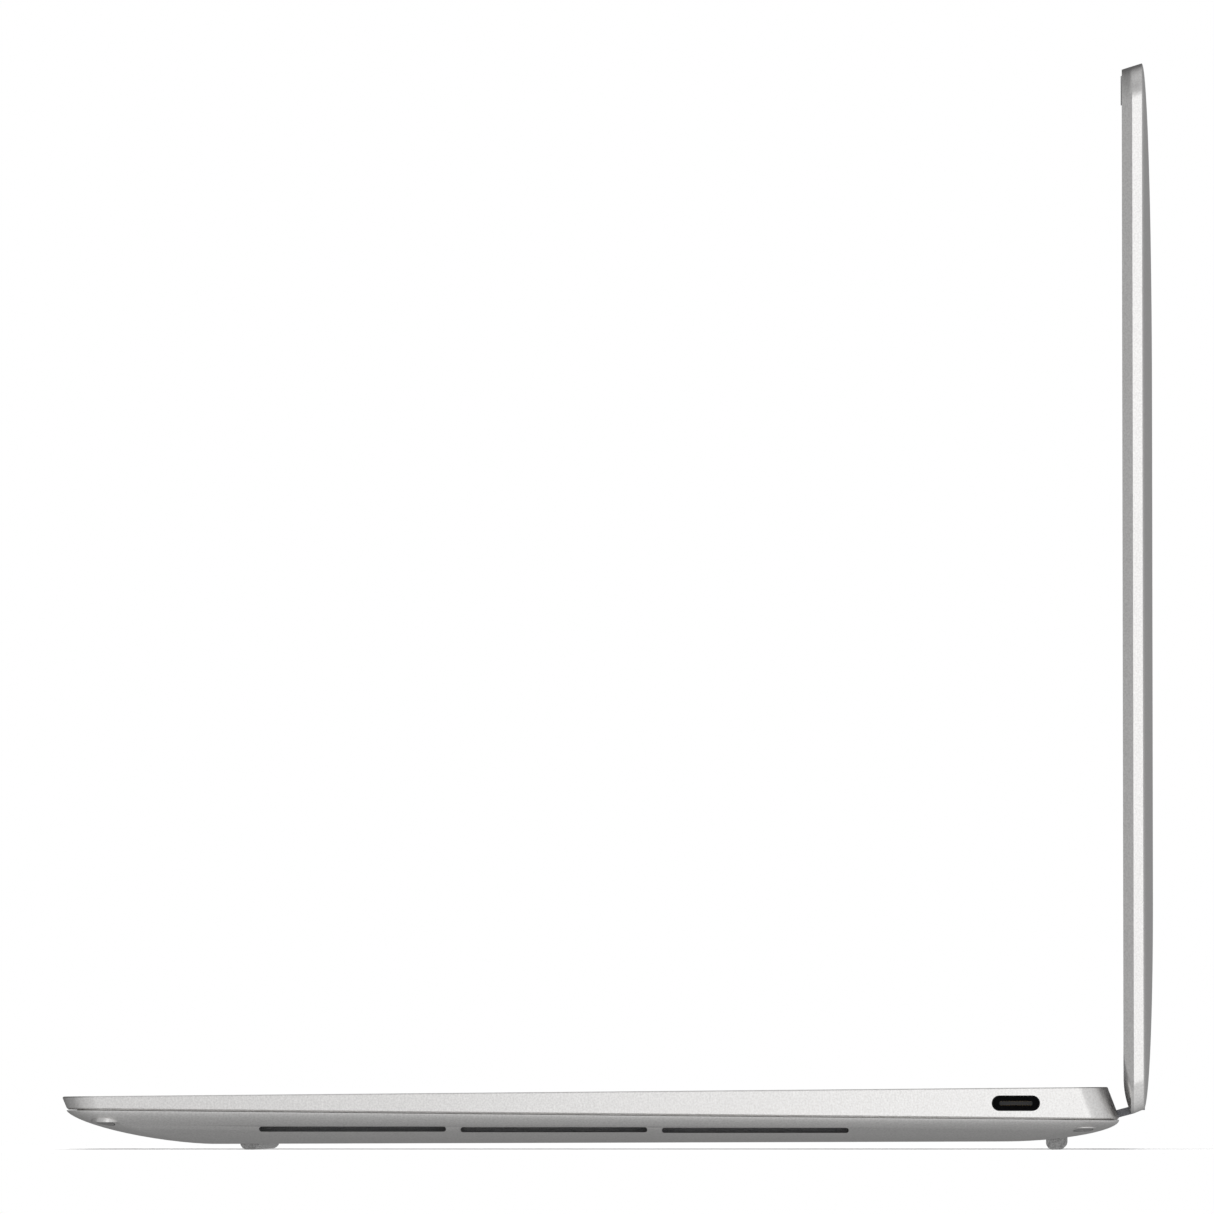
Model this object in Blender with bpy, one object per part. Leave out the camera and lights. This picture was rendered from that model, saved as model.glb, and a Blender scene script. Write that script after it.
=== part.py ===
"""A thin 13-inch laptop computer, standing open at a right angle.

Sizes are in millimetres and become metres when a mesh is made. In the base, Y is measured from
the front edge towards the hinge and Z from the table. The finished model's origin is on the table,
under the middle of the open laptop.
"""

import math

import bmesh
import bpy

MM = 0.001
GAP = 0.3  # room left between two pieces that touch on the real laptop

# Base: a wedge, thicker at the hinge.
WIDTH = 295.3
DECK_DEPTH = 195.7
DECK_FRONT_HEIGHT = 9.97
DECK_REAR_HEIGHT = 11.75
SEAM_FRONT_HEIGHT = 7.47
SEAM_REAR_HEIGHT = 5.57
BOTTOM_FRONT_HEIGHT = 1.0
BOTTOM_REAR_HEIGHT = 1.6
NOSE_LEAN = 0.75  # the front wall leans in by this much, down to the seam
TAIL_LEAN = 2.1  # the rear wall leans out by this much, down to the seam
CORNER_RADIUS = 6.0
EDGE_CHAMFER = 0.25
DECK_THICKNESS = 1.0
CASE_WALL = 1.8
COVER_WALL = 1.0

# The bottom cover's edges curve up to the seam over these distances, with these roundnesses.
COVER_FRONT_CURVE = 27.0
COVER_SIDE_CURVE = 20.0
COVER_REAR_CURVE = 21.0
COVER_ROUNDNESS = 1.5
COVER_REAR_ROUNDNESS = 1.85
COVER_LEVELS = (0.0, 0.12, 0.3, 0.5, 0.72, 0.9, 1.0)

# Lid, in the hinge's frame: Y is the distance behind the hinge axis, Z the height above it.
LID_LEAN = 0.1  # degrees that the open lid leans forward
LID_FRONT = 4.5
LID_CHAMFER_END = 6.45
LID_WALL_END = 8.25
LID_BACK = 10.1
LID_TOP = DECK_DEPTH + 0.15
LID_BOTTOM = -0.74
LID_TOP_LEAN = 1.15
LID_FOOT_HEIGHT = 7.2  # the front face curves back below this height, by the depth
LID_FOOT_DEPTH = 1.4
LID_FOOT_ROUNDNESS = 2.3
LID_SIDE_CHAMFER = 1.2
LID_BACK_CURVES = (55.0, 62.0, 40.0)  # at the sides, the top and the bottom
LID_CORNER_RADIUS = 6.0
LID_RIM = 2.05
GLASS_THICKNESS = 0.6
GLASS_DROP = 0.15
GLASS_BOTTOM = 6.5
GASKET_WIDTH = 0.7
BUMPER_HEIGHT = 0.25
PANEL_THICKNESS = 2.0
PANEL_POCKET_END = 8.0
PANEL_SIDE_MARGIN = 5.65
PANEL_BOTTOM = 11.0
PANEL_TOP = LID_TOP - 5.55
CAMERA_ROOM = 3.0  # height left for the camera above the panel
CAMERA_HALF = 14.0
CAMERA_LENS_RADIUS = 0.9
CAMERA_BACK = 7.4

# Hinge.
HINGE_Y = DECK_DEPTH - 1.55
HINGE_Z = 7.54
BARREL_RADIUS = 3.2
PIN_RADIUS = 1.5
PIN_CLEARANCE = 0.15
HINGE_HALF = 128.6
HINGE_ARM_LENGTH = 10.3
NOTCH_FRONT = HINGE_Y - BARREL_RADIUS - 0.55
PIN_WALL = 1.2  # wall between the notch and the bracket
REAR_WALL = 1.2
STRIP_TOP = 1.1
BRACKET_LENGTH = 7.5

# Keyboard and touchpad, in the deck's frame.
KEY_PITCH = 18.2
KEY_ROW_PITCH = 17.8
FUNCTION_ROW_PITCH = 12.0
KEYBOARD_FRONT = DECK_DEPTH - 113.2
KEY_WEB = 1.4  # metal between two key holes
KEY_TOP_DROP = 0.15
KEY_HEIGHT = 1.75
KEY_TAPER = 0.3
KEY_TRAVEL = 1.0
KEY_BRIDGE_HEIGHT = 0.45
KEY_BRIDGE_DEPTH = 6.0
PLATE_THICKNESS = 0.8
TOUCHPAD_WIDTH = 112.0
TOUCHPAD_FRONT = 12.0
TOUCHPAD_DEPTH = KEYBOARD_FRONT - TOUCHPAD_FRONT - 6.5
TOUCHPAD_THICKNESS = 1.5
TOUCHPAD_DROP = 0.05

# Openings in the base.
SLOT_LENGTH = (DECK_DEPTH - 90.7) / 3
SLOT_GAP = 2.7
SLOT_HEIGHT = 0.95
SLOT_FRONT = 36.8
SLOT_Z = 3.75
PORT_Y = DECK_DEPTH - 17.2
PORT_Z = 8.72
PORT_WIDTH = 9.05
PORT_HEIGHT = 2.9
SHELL_WIDTH = 9.2
SHELL_HEIGHT = 3.1
SHELL_WALL = 0.32
SHELL_LENGTH = 6.9

# Feet and screws.
FOOT_WIDTH = 3.8
FOOT_RADIUS = 1.3
FOOT_HALF_LENGTH = 118.0
FOOT_SINK = 0.45
FRONT_FOOT_Y = 34.8
REAR_FOOT_Y = DECK_DEPTH - 9.7
SCREW_HEAD_RADIUS = 1.75
SCREW_HEAD_HEIGHT = 0.8
SCREW_RADIUS = 0.8
SCREW_LENGTH = 3.2
SCREW_PAD_RADIUS = 2.7
SCREW_PAD_HEIGHT = 0.9
SCREW_SINK = 0.35  # the head sits this far below the cover's face
SCREW_FRONT_Y = 8.0
SCREW_CORNER_IN = 4.2
SCREW_INNER_X = 48.0
SCREW_REAR_IN = 5.6
SCREW_REAR_Y = DECK_DEPTH - 4.6

# Inside.
FAN_X = 92.0
FAN_Y = DECK_DEPTH - 45.7
FAN_WIDTH = 46.0
FAN_DEPTH = 44.0
FAN_BOTTOM = 3.2
FAN_HEIGHT = 3.6
FAN_WALL = 0.5
IMPELLER_RADIUS = 18.0
HUB_RADIUS = 6.5
BLADES = 13
BLADE_SHAPE = (  # turn in radians and share of the radius, with the hub's radius as None
    (0.0, None),
    (0.30, 0.72),
    (0.42, 1.0),
    (0.46, 1.0),
    (0.36, 0.72),
    (0.12, None),
)
SLOT_PITCH = 4.6  # exhaust slots
SLOT_WIDTH = 3.0
INTAKE_PITCH = 3.6
INTAKE_WIDTH = 1.6
INTAKE_RADIUS = 17.0
BATTERY_HALF = 112.0
BATTERY_FRONT = 22.0
BATTERY_REAR = KEYBOARD_FRONT - 2.5
BATTERY_BOTTOM = 2.9
BATTERY_TOP = 7.1
BATTERY_CELLS = 5
BATTERY_GROOVE = 0.5
BOARD_HALF = 62.0
BOARD_FRONT = KEYBOARD_FRONT + 3.5
BOARD_DEPTH = 82.0
BOARD_BOTTOM = 3.7
BOARD_TOP = 4.4
PLATE_BOTTOM = 5.2  # the cooler's cold plate and pipes
PLATE_TOP = 6.4
COLD_PLATE_HALF = 17.0
PIPE_HALF = 5.0
CROSS_PIPE_FRONT = DECK_DEPTH - 18.7
CROSS_PIPE_DEPTH = 7.2
FINS_FRONT = DECK_DEPTH - 20.3
FINS_DEPTH = 10.4
FINS_HALF = 21.0
FINS = 14
SPEAKER_NEAR = 119.0
SPEAKER_FAR = 135.0
SPEAKER_FRONT = 40.0
SPEAKER_REAR = DECK_DEPTH - 51.7
SPEAKER_CONE_RADIUS = 6.0

HALF_WIDTH = WIDTH / 2
ORIGIN_Y = (HINGE_Y + LID_BACK) / 2
DECK_SLOPE = math.atan2(DECK_REAR_HEIGHT - DECK_FRONT_HEIGHT, DECK_DEPTH)
KEYBOARD_HALF = 7.5 * KEY_PITCH
KEYBOARD_REAR = KEYBOARD_FRONT + 5 * KEY_ROW_PITCH + FUNCTION_ROW_PITCH
PLATE_HALF = KEYBOARD_HALF + GAP + 0.6
CAVITY_REAR = NOTCH_FRONT - REAR_WALL

# Each row of keys, from the front: node, width in key pitches, and how many keys the node joins.
KEY_ROWS = (
    (
        ("key_control_left", 1, 1),
        ("key_function", 1, 1),
        ("key_system", 1, 1),
        ("key_alt_left", 1.25, 1),
        ("key_space", 5.5, 1),
        ("key_alt_right", 1.25, 1),
        ("key_control_right", 1, 1),
        ("key_arrow_left", 1, 1),
        ("key_arrow_down", 1, 1),
        ("key_arrow_right", 1, 1),
    ),
    (("key_shift_left", 2.25, 1), ("keys_lower_row", 1, 10), ("key_shift_right", 2.75, 1)),
    (("key_caps_lock", 1.75, 1), ("keys_middle_row", 1, 11), ("key_enter", 2.25, 1)),
    (("key_tab", 1.5, 1), ("keys_upper_row", 1, 12), ("key_backslash", 1.5, 1)),
    (("keys_number_row", 1, 13), ("key_backspace", 2, 1)),
    (
        ("key_escape", 1, 1),
        ("keys_function_row", 1, 12),
        ("key_delete", 1, 1),
        ("power_button", 1, 1),
    ),
)

# Principled BSDF values: colour, roughness and metallic.
FINISHES = {
    "aluminium": ((0.68, 0.68, 0.69), 0.42, 1.0),
    "key_plastic": ((0.45, 0.45, 0.46), 0.55, 0.0),
    "dark_plastic": ((0.12, 0.12, 0.125), 0.5, 0.0),
    "steel": ((0.55, 0.55, 0.56), 0.3, 1.0),
    "rubber": ((0.16, 0.16, 0.165), 0.8, 0.0),
    "screen_glass": ((0.012, 0.012, 0.014), 0.06, 0.0),
    "touch_glass": ((0.6, 0.6, 0.61), 0.35, 0.0),
    "battery_wrap": ((0.03, 0.03, 0.032), 0.5, 0.0),
    "circuit_board": ((0.02, 0.09, 0.05), 0.45, 0.0),
    "copper": ((0.72, 0.38, 0.24), 0.35, 1.0),
}


def clear_scene():
    for item in list(bpy.data.objects):
        bpy.data.objects.remove(item)


def finish(name):
    """The Principled material called name, made once."""
    material = bpy.data.materials.get(name)
    if material:
        return material
    colour, roughness, metallic = FINISHES[name]
    material = bpy.data.materials.new(name)
    material.use_nodes = True
    shader = material.node_tree.nodes["Principled BSDF"]
    shader.inputs["Base Color"].default_value = (*colour, 1.0)
    shader.inputs["Roughness"].default_value = roughness
    shader.inputs["Metallic"].default_value = metallic
    return material


def frame(name, parent, location, tilt=0.0):
    """An empty that pieces are placed in, tilted about X."""
    empty = bpy.data.objects.new(name, None)
    bpy.context.collection.objects.link(empty)
    empty.parent = parent
    empty.location = [value * MM for value in location]
    empty.rotation_euler.x = tilt
    return empty


def piece(name, mesh, parent, look=None, location=(0, 0, 0), smooth=None):
    """An object from a bmesh in millimetres. Without a look it is a cutter or a helper."""
    bmesh.ops.recalc_face_normals(mesh, faces=mesh.faces)
    bmesh.ops.scale(mesh, vec=(MM, MM, MM), verts=mesh.verts)
    data = bpy.data.meshes.new(name)
    mesh.to_mesh(data)
    mesh.free()
    item = bpy.data.objects.new(name, data)
    bpy.context.collection.objects.link(item)
    item.parent = parent
    item.location = [value * MM for value in location]
    if look:
        own = finish(look).copy()
        own.name = name
        data.materials.append(own)
    else:
        item.hide_render = True
        item.display_type = "WIRE"
    if smooth:
        data.shade_smooth()
        data.set_sharp_from_angle(angle=math.radians(smooth))
    return item


def combine(item, operation, tool):
    """Adds a live Boolean modifier to a piece."""
    modifier = item.modifiers.new(tool.name, "BOOLEAN")
    modifier.operation = operation
    modifier.object = tool
    modifier.solver = "EXACT"
    return item


def cut(item, name, mesh, parent, location=(0, 0, 0)):
    return combine(item, "DIFFERENCE", piece(name, mesh, parent, location=location))


def join(item, name, mesh, parent, location=(0, 0, 0)):
    return combine(item, "UNION", piece(name, mesh, parent, location=location))


def loft(rings):
    """A closed solid through rings of points, with a flat face at each end."""
    mesh = bmesh.new()
    loops = [[mesh.verts.new(point) for point in ring] for ring in rings]
    for first, second in zip(loops, loops[1:]):
        for index in range(len(first)):
            after = (index + 1) % len(first)
            mesh.faces.new((first[index], first[after], second[after], second[index]))
    mesh.faces.new(loops[0])
    mesh.faces.new(loops[-1])
    return mesh


def prism(outline, low, high, axis="Z"):
    """An outline of (x, y), (x, z) or (y, z) points, extruded along the axis that is left."""
    place = {
        "X": lambda a, b, c: (c, a, b),
        "Y": lambda a, b, c: (a, c, b),
        "Z": lambda a, b, c: (a, b, c),
    }[axis]
    return loft([[place(a, b, end) for a, b in outline] for end in (low, high)])


def box(x0, x1, y0, y1, z0, z1):
    return prism(((x0, y0), (x1, y0), (x1, y1), (x0, y1)), z0, z1)


def boxes(corners):
    """Several boxes that don't touch, in one mesh."""
    mesh = bmesh.new()
    for x0, x1, y0, y1, z0, z1 in corners:
        for vert in bmesh.ops.create_cube(mesh, size=1.0)["verts"]:
            vert.co.x = x1 if vert.co.x > 0 else x0
            vert.co.y = y1 if vert.co.y > 0 else y0
            vert.co.z = z1 if vert.co.z > 0 else z0
    return mesh


def circle(centre, radius, count, start=0.0):
    angles = [start + 2 * math.pi * index / count for index in range(count)]
    return [(centre[0] + radius * math.cos(a), centre[1] + radius * math.sin(a)) for a in angles]


def arc(centre, radius, start, end, count):
    """Points from one angle to another, in degrees, both ends included."""
    steps = [math.radians(start + (end - start) * index / count) for index in range(count + 1)]
    return [(centre[0] + radius * math.cos(a), centre[1] + radius * math.sin(a)) for a in steps]


def capsule(centre, length, height, count=5):
    """A slot's outline with half-round ends."""
    radius = height / 2
    reach = length / 2 - radius
    right = arc((centre[0] + reach, centre[1]), radius, -90, 90, count)
    left = arc((centre[0] - reach, centre[1]), radius, 90, 270, count)
    return right + left


def rounded(x0, x1, y0, y1, radius, count=4):
    """A rectangle's outline with round corners."""
    corners = (
        (x1 - radius, y0 + radius, -90),
        (x1 - radius, y1 - radius, 0),
        (x0 + radius, y1 - radius, 90),
        (x0 + radius, y0 + radius, 180),
    )
    points = []
    for x, y, start in corners:
        points += arc((x, y), radius, start, start + 90, count)
    return points


def wedge_height(front, rear, y):
    """The height at y of a plane that is given at the deck's front and rear edges."""
    return front + (rear - front) * y / DECK_DEPTH


def deck_height(y):
    return wedge_height(DECK_FRONT_HEIGHT, DECK_REAR_HEIGHT, y)


def seam_height(y):
    return wedge_height(SEAM_FRONT_HEIGHT, SEAM_REAR_HEIGHT, y)


def bottom_height(y):
    return wedge_height(BOTTOM_FRONT_HEIGHT, BOTTOM_REAR_HEIGHT, y)


def bulge(level, roundness):
    """How far in an edge has curved at this share of its drop, from 0 to 1."""
    return 1 - (1 - level**roundness) ** (1 / roundness)


def sloped_ring(half, front, rear, radius, height):
    """A round-cornered rectangle whose points lie at height(y)."""
    return [(x, y, height(y)) for x, y in rounded(-half, half, front, rear, radius)]


def cover_ring(level, inset, lift):
    """One ring of the bottom cover's curved edge, moved in and up by the given amounts."""
    side = COVER_SIDE_CURVE * bulge(level, COVER_ROUNDNESS) + inset
    front = NOSE_LEAN + COVER_FRONT_CURVE * bulge(level, COVER_ROUNDNESS) + inset
    rear = DECK_DEPTH + TAIL_LEAN - COVER_REAR_CURVE * bulge(level, COVER_REAR_ROUNDNESS) - inset

    def height(y):
        top = seam_height(y) - GAP / 2
        return top + (bottom_height(y) - top) * level + lift

    return sloped_ring(HALF_WIDTH - side, front, rear, CORNER_RADIUS + side / 2, height)


def cover_surface(x, y):
    """The height of the bottom cover's outer face under a point near its edge."""
    low, high = 0.0, 1.0
    for _ in range(30):
        level = (low + high) / 2
        inside = abs(x) < HALF_WIDTH - COVER_SIDE_CURVE * bulge(level, COVER_ROUNDNESS)
        inside &= y > NOSE_LEAN + COVER_FRONT_CURVE * bulge(level, COVER_ROUNDNESS)
        rear = COVER_REAR_CURVE * bulge(level, COVER_REAR_ROUNDNESS)
        inside &= y < DECK_DEPTH + TAIL_LEAN - rear
        low, high = (level, high) if inside else (low, level)
    top = seam_height(y) - GAP / 2
    return top + (bottom_height(y) - top) * low


def screw_places():
    """Each bottom screw's name, x and y."""
    corner_x = HALF_WIDTH - SCREW_CORNER_IN
    rear_x = HALF_WIDTH - SCREW_REAR_IN
    return (
        ("cover_screw_front_left", -corner_x, SCREW_FRONT_Y),
        ("cover_screw_front_centre_left", -SCREW_INNER_X, SCREW_FRONT_Y),
        ("cover_screw_front_centre_right", SCREW_INNER_X, SCREW_FRONT_Y),
        ("cover_screw_front_right", corner_x, SCREW_FRONT_Y),
        ("cover_screw_rear_left", -rear_x, SCREW_REAR_Y),
        ("cover_screw_rear_right", rear_x, SCREW_REAR_Y),
    )


def screw_seat(x, y):
    """The height of the face that a screw's head presses against."""
    return cover_surface(x, y) + SCREW_HEAD_HEIGHT + SCREW_SINK


def pad_top(x, y):
    return screw_seat(x, y) + SCREW_PAD_HEIGHT


def key_cells():
    """Each key node's name and the cells it fills, as (x0, x1, y0, y1) in the deck's frame."""
    nodes = []
    y = KEYBOARD_FRONT
    for row in KEY_ROWS:
        depth = FUNCTION_ROW_PITCH if row is KEY_ROWS[-1] else KEY_ROW_PITCH
        x = -KEYBOARD_HALF
        for name, units, count in row:
            cells = []
            for _ in range(count):
                cells.append((x, x + units * KEY_PITCH, y, y + depth))
                x += units * KEY_PITCH
            if name == "key_arrow_down":
                x0, x1, y0, y1 = cells[0]
                middle = (y0 + y1) / 2
                cells = [(x0, x1, y0, middle)]
                nodes.append(("key_arrow_up", [(x0, x1, middle, y1)]))
            nodes.append((name, cells))
        y += depth
    return nodes


def inset_cell(cell, amount):
    x0, x1, y0, y1 = cell
    return (x0 + amount, x1 - amount, y0 + amount, y1 - amount)


def make_top_case(base, deck):
    """The deck and its side walls, cut from one block."""
    seam_gap = GAP / 2
    wall_rear = DECK_DEPTH + TAIL_LEAN

    def at_seam(extra):
        return lambda y: seam_height(y) + seam_gap + extra

    def at_deck(drop):
        return lambda y: deck_height(y) - drop

    chamfer = 0.4
    rings = [
        sloped_ring(
            HALF_WIDTH - chamfer,
            NOSE_LEAN + chamfer,
            wall_rear - chamfer,
            CORNER_RADIUS,
            at_seam(0),
        ),
        sloped_ring(HALF_WIDTH, NOSE_LEAN, wall_rear, CORNER_RADIUS, at_seam(chamfer)),
        sloped_ring(HALF_WIDTH, 0, DECK_DEPTH, CORNER_RADIUS, at_deck(EDGE_CHAMFER)),
        sloped_ring(
            HALF_WIDTH - EDGE_CHAMFER,
            EDGE_CHAMFER,
            DECK_DEPTH - EDGE_CHAMFER,
            CORNER_RADIUS,
            at_deck(0),
        ),
    ]
    case = piece("top_case", loft(rings), base, "aluminium", smooth=30)
    cavity_half = HALF_WIDTH - CASE_WALL
    cavity_front = NOSE_LEAN + CASE_WALL
    cavity = [
        sloped_ring(cavity_half, cavity_front, CAVITY_REAR, 4.5, at_seam(-2)),
        sloped_ring(cavity_half, cavity_front, CAVITY_REAR, 4.5, at_deck(DECK_THICKNESS)),
    ]
    cut(case, "case_cavity", loft(cavity), base)
    notch_half = HINGE_HALF + 2 * GAP
    notch = box(-notch_half, notch_half, NOTCH_FRONT, DECK_DEPTH + 10, 0, 20)
    cut(case, "case_hinge_notch", notch, base)
    cut(case, "case_bracket_pockets", bracket_pockets(), base)
    cut(case, "case_pin_holes", pin_holes(), base)
    cut(case, "case_deck_holes", deck_holes(), deck)
    port = capsule((PORT_Y, PORT_Z), PORT_WIDTH, PORT_HEIGHT)
    for side, name in ((-1, "left"), (1, "right")):
        ends = sorted((side * (HALF_WIDTH - 2 * CASE_WALL), side * (HALF_WIDTH + 5)))
        cut(case, f"case_port_{name}", prism(port, *ends, "X"), base)
    cut(case, "case_exhaust", exhaust_slots(), base)
    for name, x, y in screw_places():
        if y < NOTCH_FRONT:
            outline = circle((x, y), SCREW_PAD_RADIUS, 12)
            boss = prism(outline, pad_top(x, y) + GAP, deck_height(y) - 0.5)
            join(case, f"case_boss_{name}", boss, base)
        bore = prism(
            circle((x, y), SCREW_RADIUS + GAP, 12), 0, screw_seat(x, y) + SCREW_LENGTH + GAP
        )
        cut(case, f"case_bore_{name}", bore, base)
    return case


def bracket_span():
    """The lowest and highest distance from the middle of a hinge bracket's block."""
    near = HINGE_HALF + 2 * GAP + PIN_WALL + GAP
    return near, near + BRACKET_LENGTH


def bracket_pockets():
    near, far = bracket_span()
    corners = []
    for side in (-1, 1):
        x0, x1 = sorted((side * (near - GAP), side * (far + GAP)))
        corners.append((x0, x1, NOTCH_FRONT - 3, HINGE_Y + 1.85, 0, DECK_REAR_HEIGHT - 1.5))
    return boxes(corners)


def pin_holes():
    """Holes for both hinge pins through the walls beside the notch."""
    mesh = bmesh.new()
    hole = circle((HINGE_Y, HINGE_Z), PIN_RADIUS + GAP, 16)
    reach = HINGE_HALF + 2 * GAP
    for side in (-1, 1):
        ends = sorted((side * (reach - 1), side * (reach + PIN_WALL + 1)))
        part = prism(hole, *ends, "X")
        data = bpy.data.meshes.new("pin_hole")
        part.to_mesh(data)
        part.free()
        mesh.from_mesh(data)
        bpy.data.meshes.remove(data)
    return mesh


def deck_holes():
    """Every key's hole and the touchpad's opening."""
    corners = []
    for _, cells in key_cells():
        for cell in cells:
            corners.append((*inset_cell(cell, KEY_WEB / 2), -DECK_THICKNESS - 1, 1))
    half = TOUCHPAD_WIDTH / 2 + GAP
    front, rear = TOUCHPAD_FRONT - GAP, TOUCHPAD_FRONT + TOUCHPAD_DEPTH + GAP
    corners.append((-half, half, front, rear, -DECK_THICKNESS - 1, 1))
    return boxes(corners)


def exhaust_slots():
    """Upright slots in the rear wall, behind each fan's fins."""
    corners = []
    for side in (-1, 1):
        for index in range(-4, 5):
            x = side * FAN_X + index * SLOT_PITCH
            x0, x1 = x - SLOT_WIDTH / 2, x + SLOT_WIDTH / 2
            z0, z1 = seam_height(CAVITY_REAR) - 1, DECK_REAR_HEIGHT - 3.5
            corners.append((x0, x1, CAVITY_REAR - 1, NOTCH_FRONT + 1, z0, z1))
    return boxes(corners)


def make_bottom_cover(base):
    """The tray that closes the base from below."""
    outer = [cover_ring(level, 0, 0) for level in reversed(COVER_LEVELS)]
    inner = [cover_ring(level, COVER_WALL, COVER_WALL * level) for level in COVER_LEVELS]
    cover = piece("bottom_cover", loft(outer + inner), base, "aluminium", smooth=30)
    slots_end = 3 * SLOT_LENGTH + 2 * SLOT_GAP
    for index in range(3):
        middle = SLOT_FRONT + SLOT_LENGTH / 2 + index * (SLOT_LENGTH + SLOT_GAP)
        z = SLOT_Z + 0.17 * (1 - 2 * (middle - SLOT_FRONT) / slots_end)
        outline = capsule((middle, z), SLOT_LENGTH, SLOT_HEIGHT, 3)
        for side, name in ((-1, "left"), (1, "right")):
            ends = sorted((side * (HALF_WIDTH - 13), side * (HALF_WIDTH + 5)))
            cut(cover, f"cover_slot_{name}_{index + 1}", prism(outline, *ends, "X"), base)
    notch_half = HINGE_HALF + 2 * GAP
    notch = box(-notch_half, notch_half, NOTCH_FRONT + 1.6, DECK_DEPTH + 10, 0, 20)
    cut(cover, "cover_hinge_notch", notch, base)
    cut(cover, "cover_intakes", intake_slots(), base)
    for y, name in ((FRONT_FOOT_Y, "front"), (REAR_FOOT_Y, "rear")):
        groove = foot_outline(y, GAP)
        reach = FOOT_HALF_LENGTH + GAP
        cut(cover, f"cover_groove_{name}", prism(groove, -reach, reach, "X"), base)
    for name, x, y in screw_places():
        surface = cover_surface(x, y)
        pad = prism(circle((x, y), SCREW_PAD_RADIUS, 12), surface + 0.6, pad_top(x, y))
        join(cover, f"cover_pad_{name}", pad, base)
        head = SCREW_HEAD_RADIUS + GAP
        seat = screw_seat(x, y) + GAP / 2
        cut(cover, f"cover_seat_{name}", prism(circle((x, y), head, 16), 0, seat), base)
        bore = prism(circle((x, y), SCREW_RADIUS + GAP, 12), 0, 15)
        cut(cover, f"cover_bore_{name}", bore, base)
    return cover


def intake_slots():
    """Rows of slots under both fans."""
    corners = []
    for side in (-1, 1):
        for index in range(-4, 5):
            y = FAN_Y + index * INTAKE_PITCH
            reach = math.sqrt(INTAKE_RADIUS**2 - (index * INTAKE_PITCH) ** 2)
            x, half = side * FAN_X, INTAKE_WIDTH / 2
            corners.append((x - reach, x + reach, y - half, y + half, 0, FAN_BOTTOM))
    return boxes(corners)


def foot_outline(y, room):
    """A foot's section: a round-cornered bar, flat below, whose top sinks into the cover."""
    top = cover_surface(0, y) + FOOT_SINK
    half = FOOT_WIDTH / 2 + room
    if room:
        return [(y - half, -1), (y + half, -1), (y + half, top + room), (y - half, top + room)]
    inner = half - FOOT_RADIUS
    left = arc((y - inner, FOOT_RADIUS), FOOT_RADIUS, 180, 270, 5)
    right = arc((y + inner, FOOT_RADIUS), FOOT_RADIUS, 270, 360, 5)
    return left + right + [(y + half, top), (y - half, top)]


def make_feet(base):
    for y, name in ((FRONT_FOOT_Y, "front_foot"), (REAR_FOOT_Y, "rear_foot")):
        bar = prism(foot_outline(y, 0), -FOOT_HALF_LENGTH, FOOT_HALF_LENGTH, "X")
        piece(name, bar, base, "rubber", smooth=40)


def make_screws(base):
    """Flat-head screws, each turned about its own axis, with a six-lobed socket left to the finish."""
    for name, x, y in screw_places():
        seat = screw_seat(x, y)
        profile = (
            (SCREW_HEAD_RADIUS - 0.2, seat - SCREW_HEAD_HEIGHT),
            (SCREW_HEAD_RADIUS, seat - SCREW_HEAD_HEIGHT + 0.2),
            (SCREW_HEAD_RADIUS, seat - GAP / 2),
            (SCREW_RADIUS, seat - GAP / 2),
            (SCREW_RADIUS, seat + SCREW_LENGTH),
        )
        rings = [[(*point, z) for point in circle((0, 0), radius, 12)] for radius, z in profile]
        screw = piece(name, loft(rings), base, "steel", location=(x, y, 0), smooth=40)
        socket = circle((0, 0), 0.7, 6)
        depth = prism(socket, 0, seat - SCREW_HEAD_HEIGHT + 0.4)
        cut(screw, f"{name}_socket", depth, base, location=(x, y, 0))


def make_keyboard_plate(deck):
    """The steel tray that carries the keys' scissors and domes."""
    top = -(KEY_TOP_DROP + KEY_HEIGHT + KEY_TRAVEL + 0.2)
    rim = -(DECK_THICKNESS + GAP)
    rim_width = 0.9
    front, rear = KEYBOARD_FRONT - 1.0, KEYBOARD_REAR + 1.0
    outside = box(-PLATE_HALF, PLATE_HALF, front, rear, top - PLATE_THICKNESS, rim)
    plate = piece("keyboard_plate", outside, deck, "steel")
    half = PLATE_HALF - rim_width
    hollow = box(-half, half, front + rim_width, rear - rim_width, top, 5)
    cut(plate, "plate_hollow", hollow, deck)


def keycap(x0, x1, y0, y1):
    """A keycap's rings, slightly narrower at the top."""
    top, bottom = -KEY_TOP_DROP, -KEY_TOP_DROP - KEY_HEIGHT
    rings = []
    for inset, z in ((0, bottom), (0, bottom + KEY_HEIGHT / 2), (KEY_TAPER, top)):
        corners = inset_cell((x0, x1, y0, y1), inset)
        x_low, x_high, y_low, y_high = corners
        rings.append([(x_low, y_low, z), (x_high, y_low, z), (x_high, y_high, z), (x_low, y_high, z)])
    return rings


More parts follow.
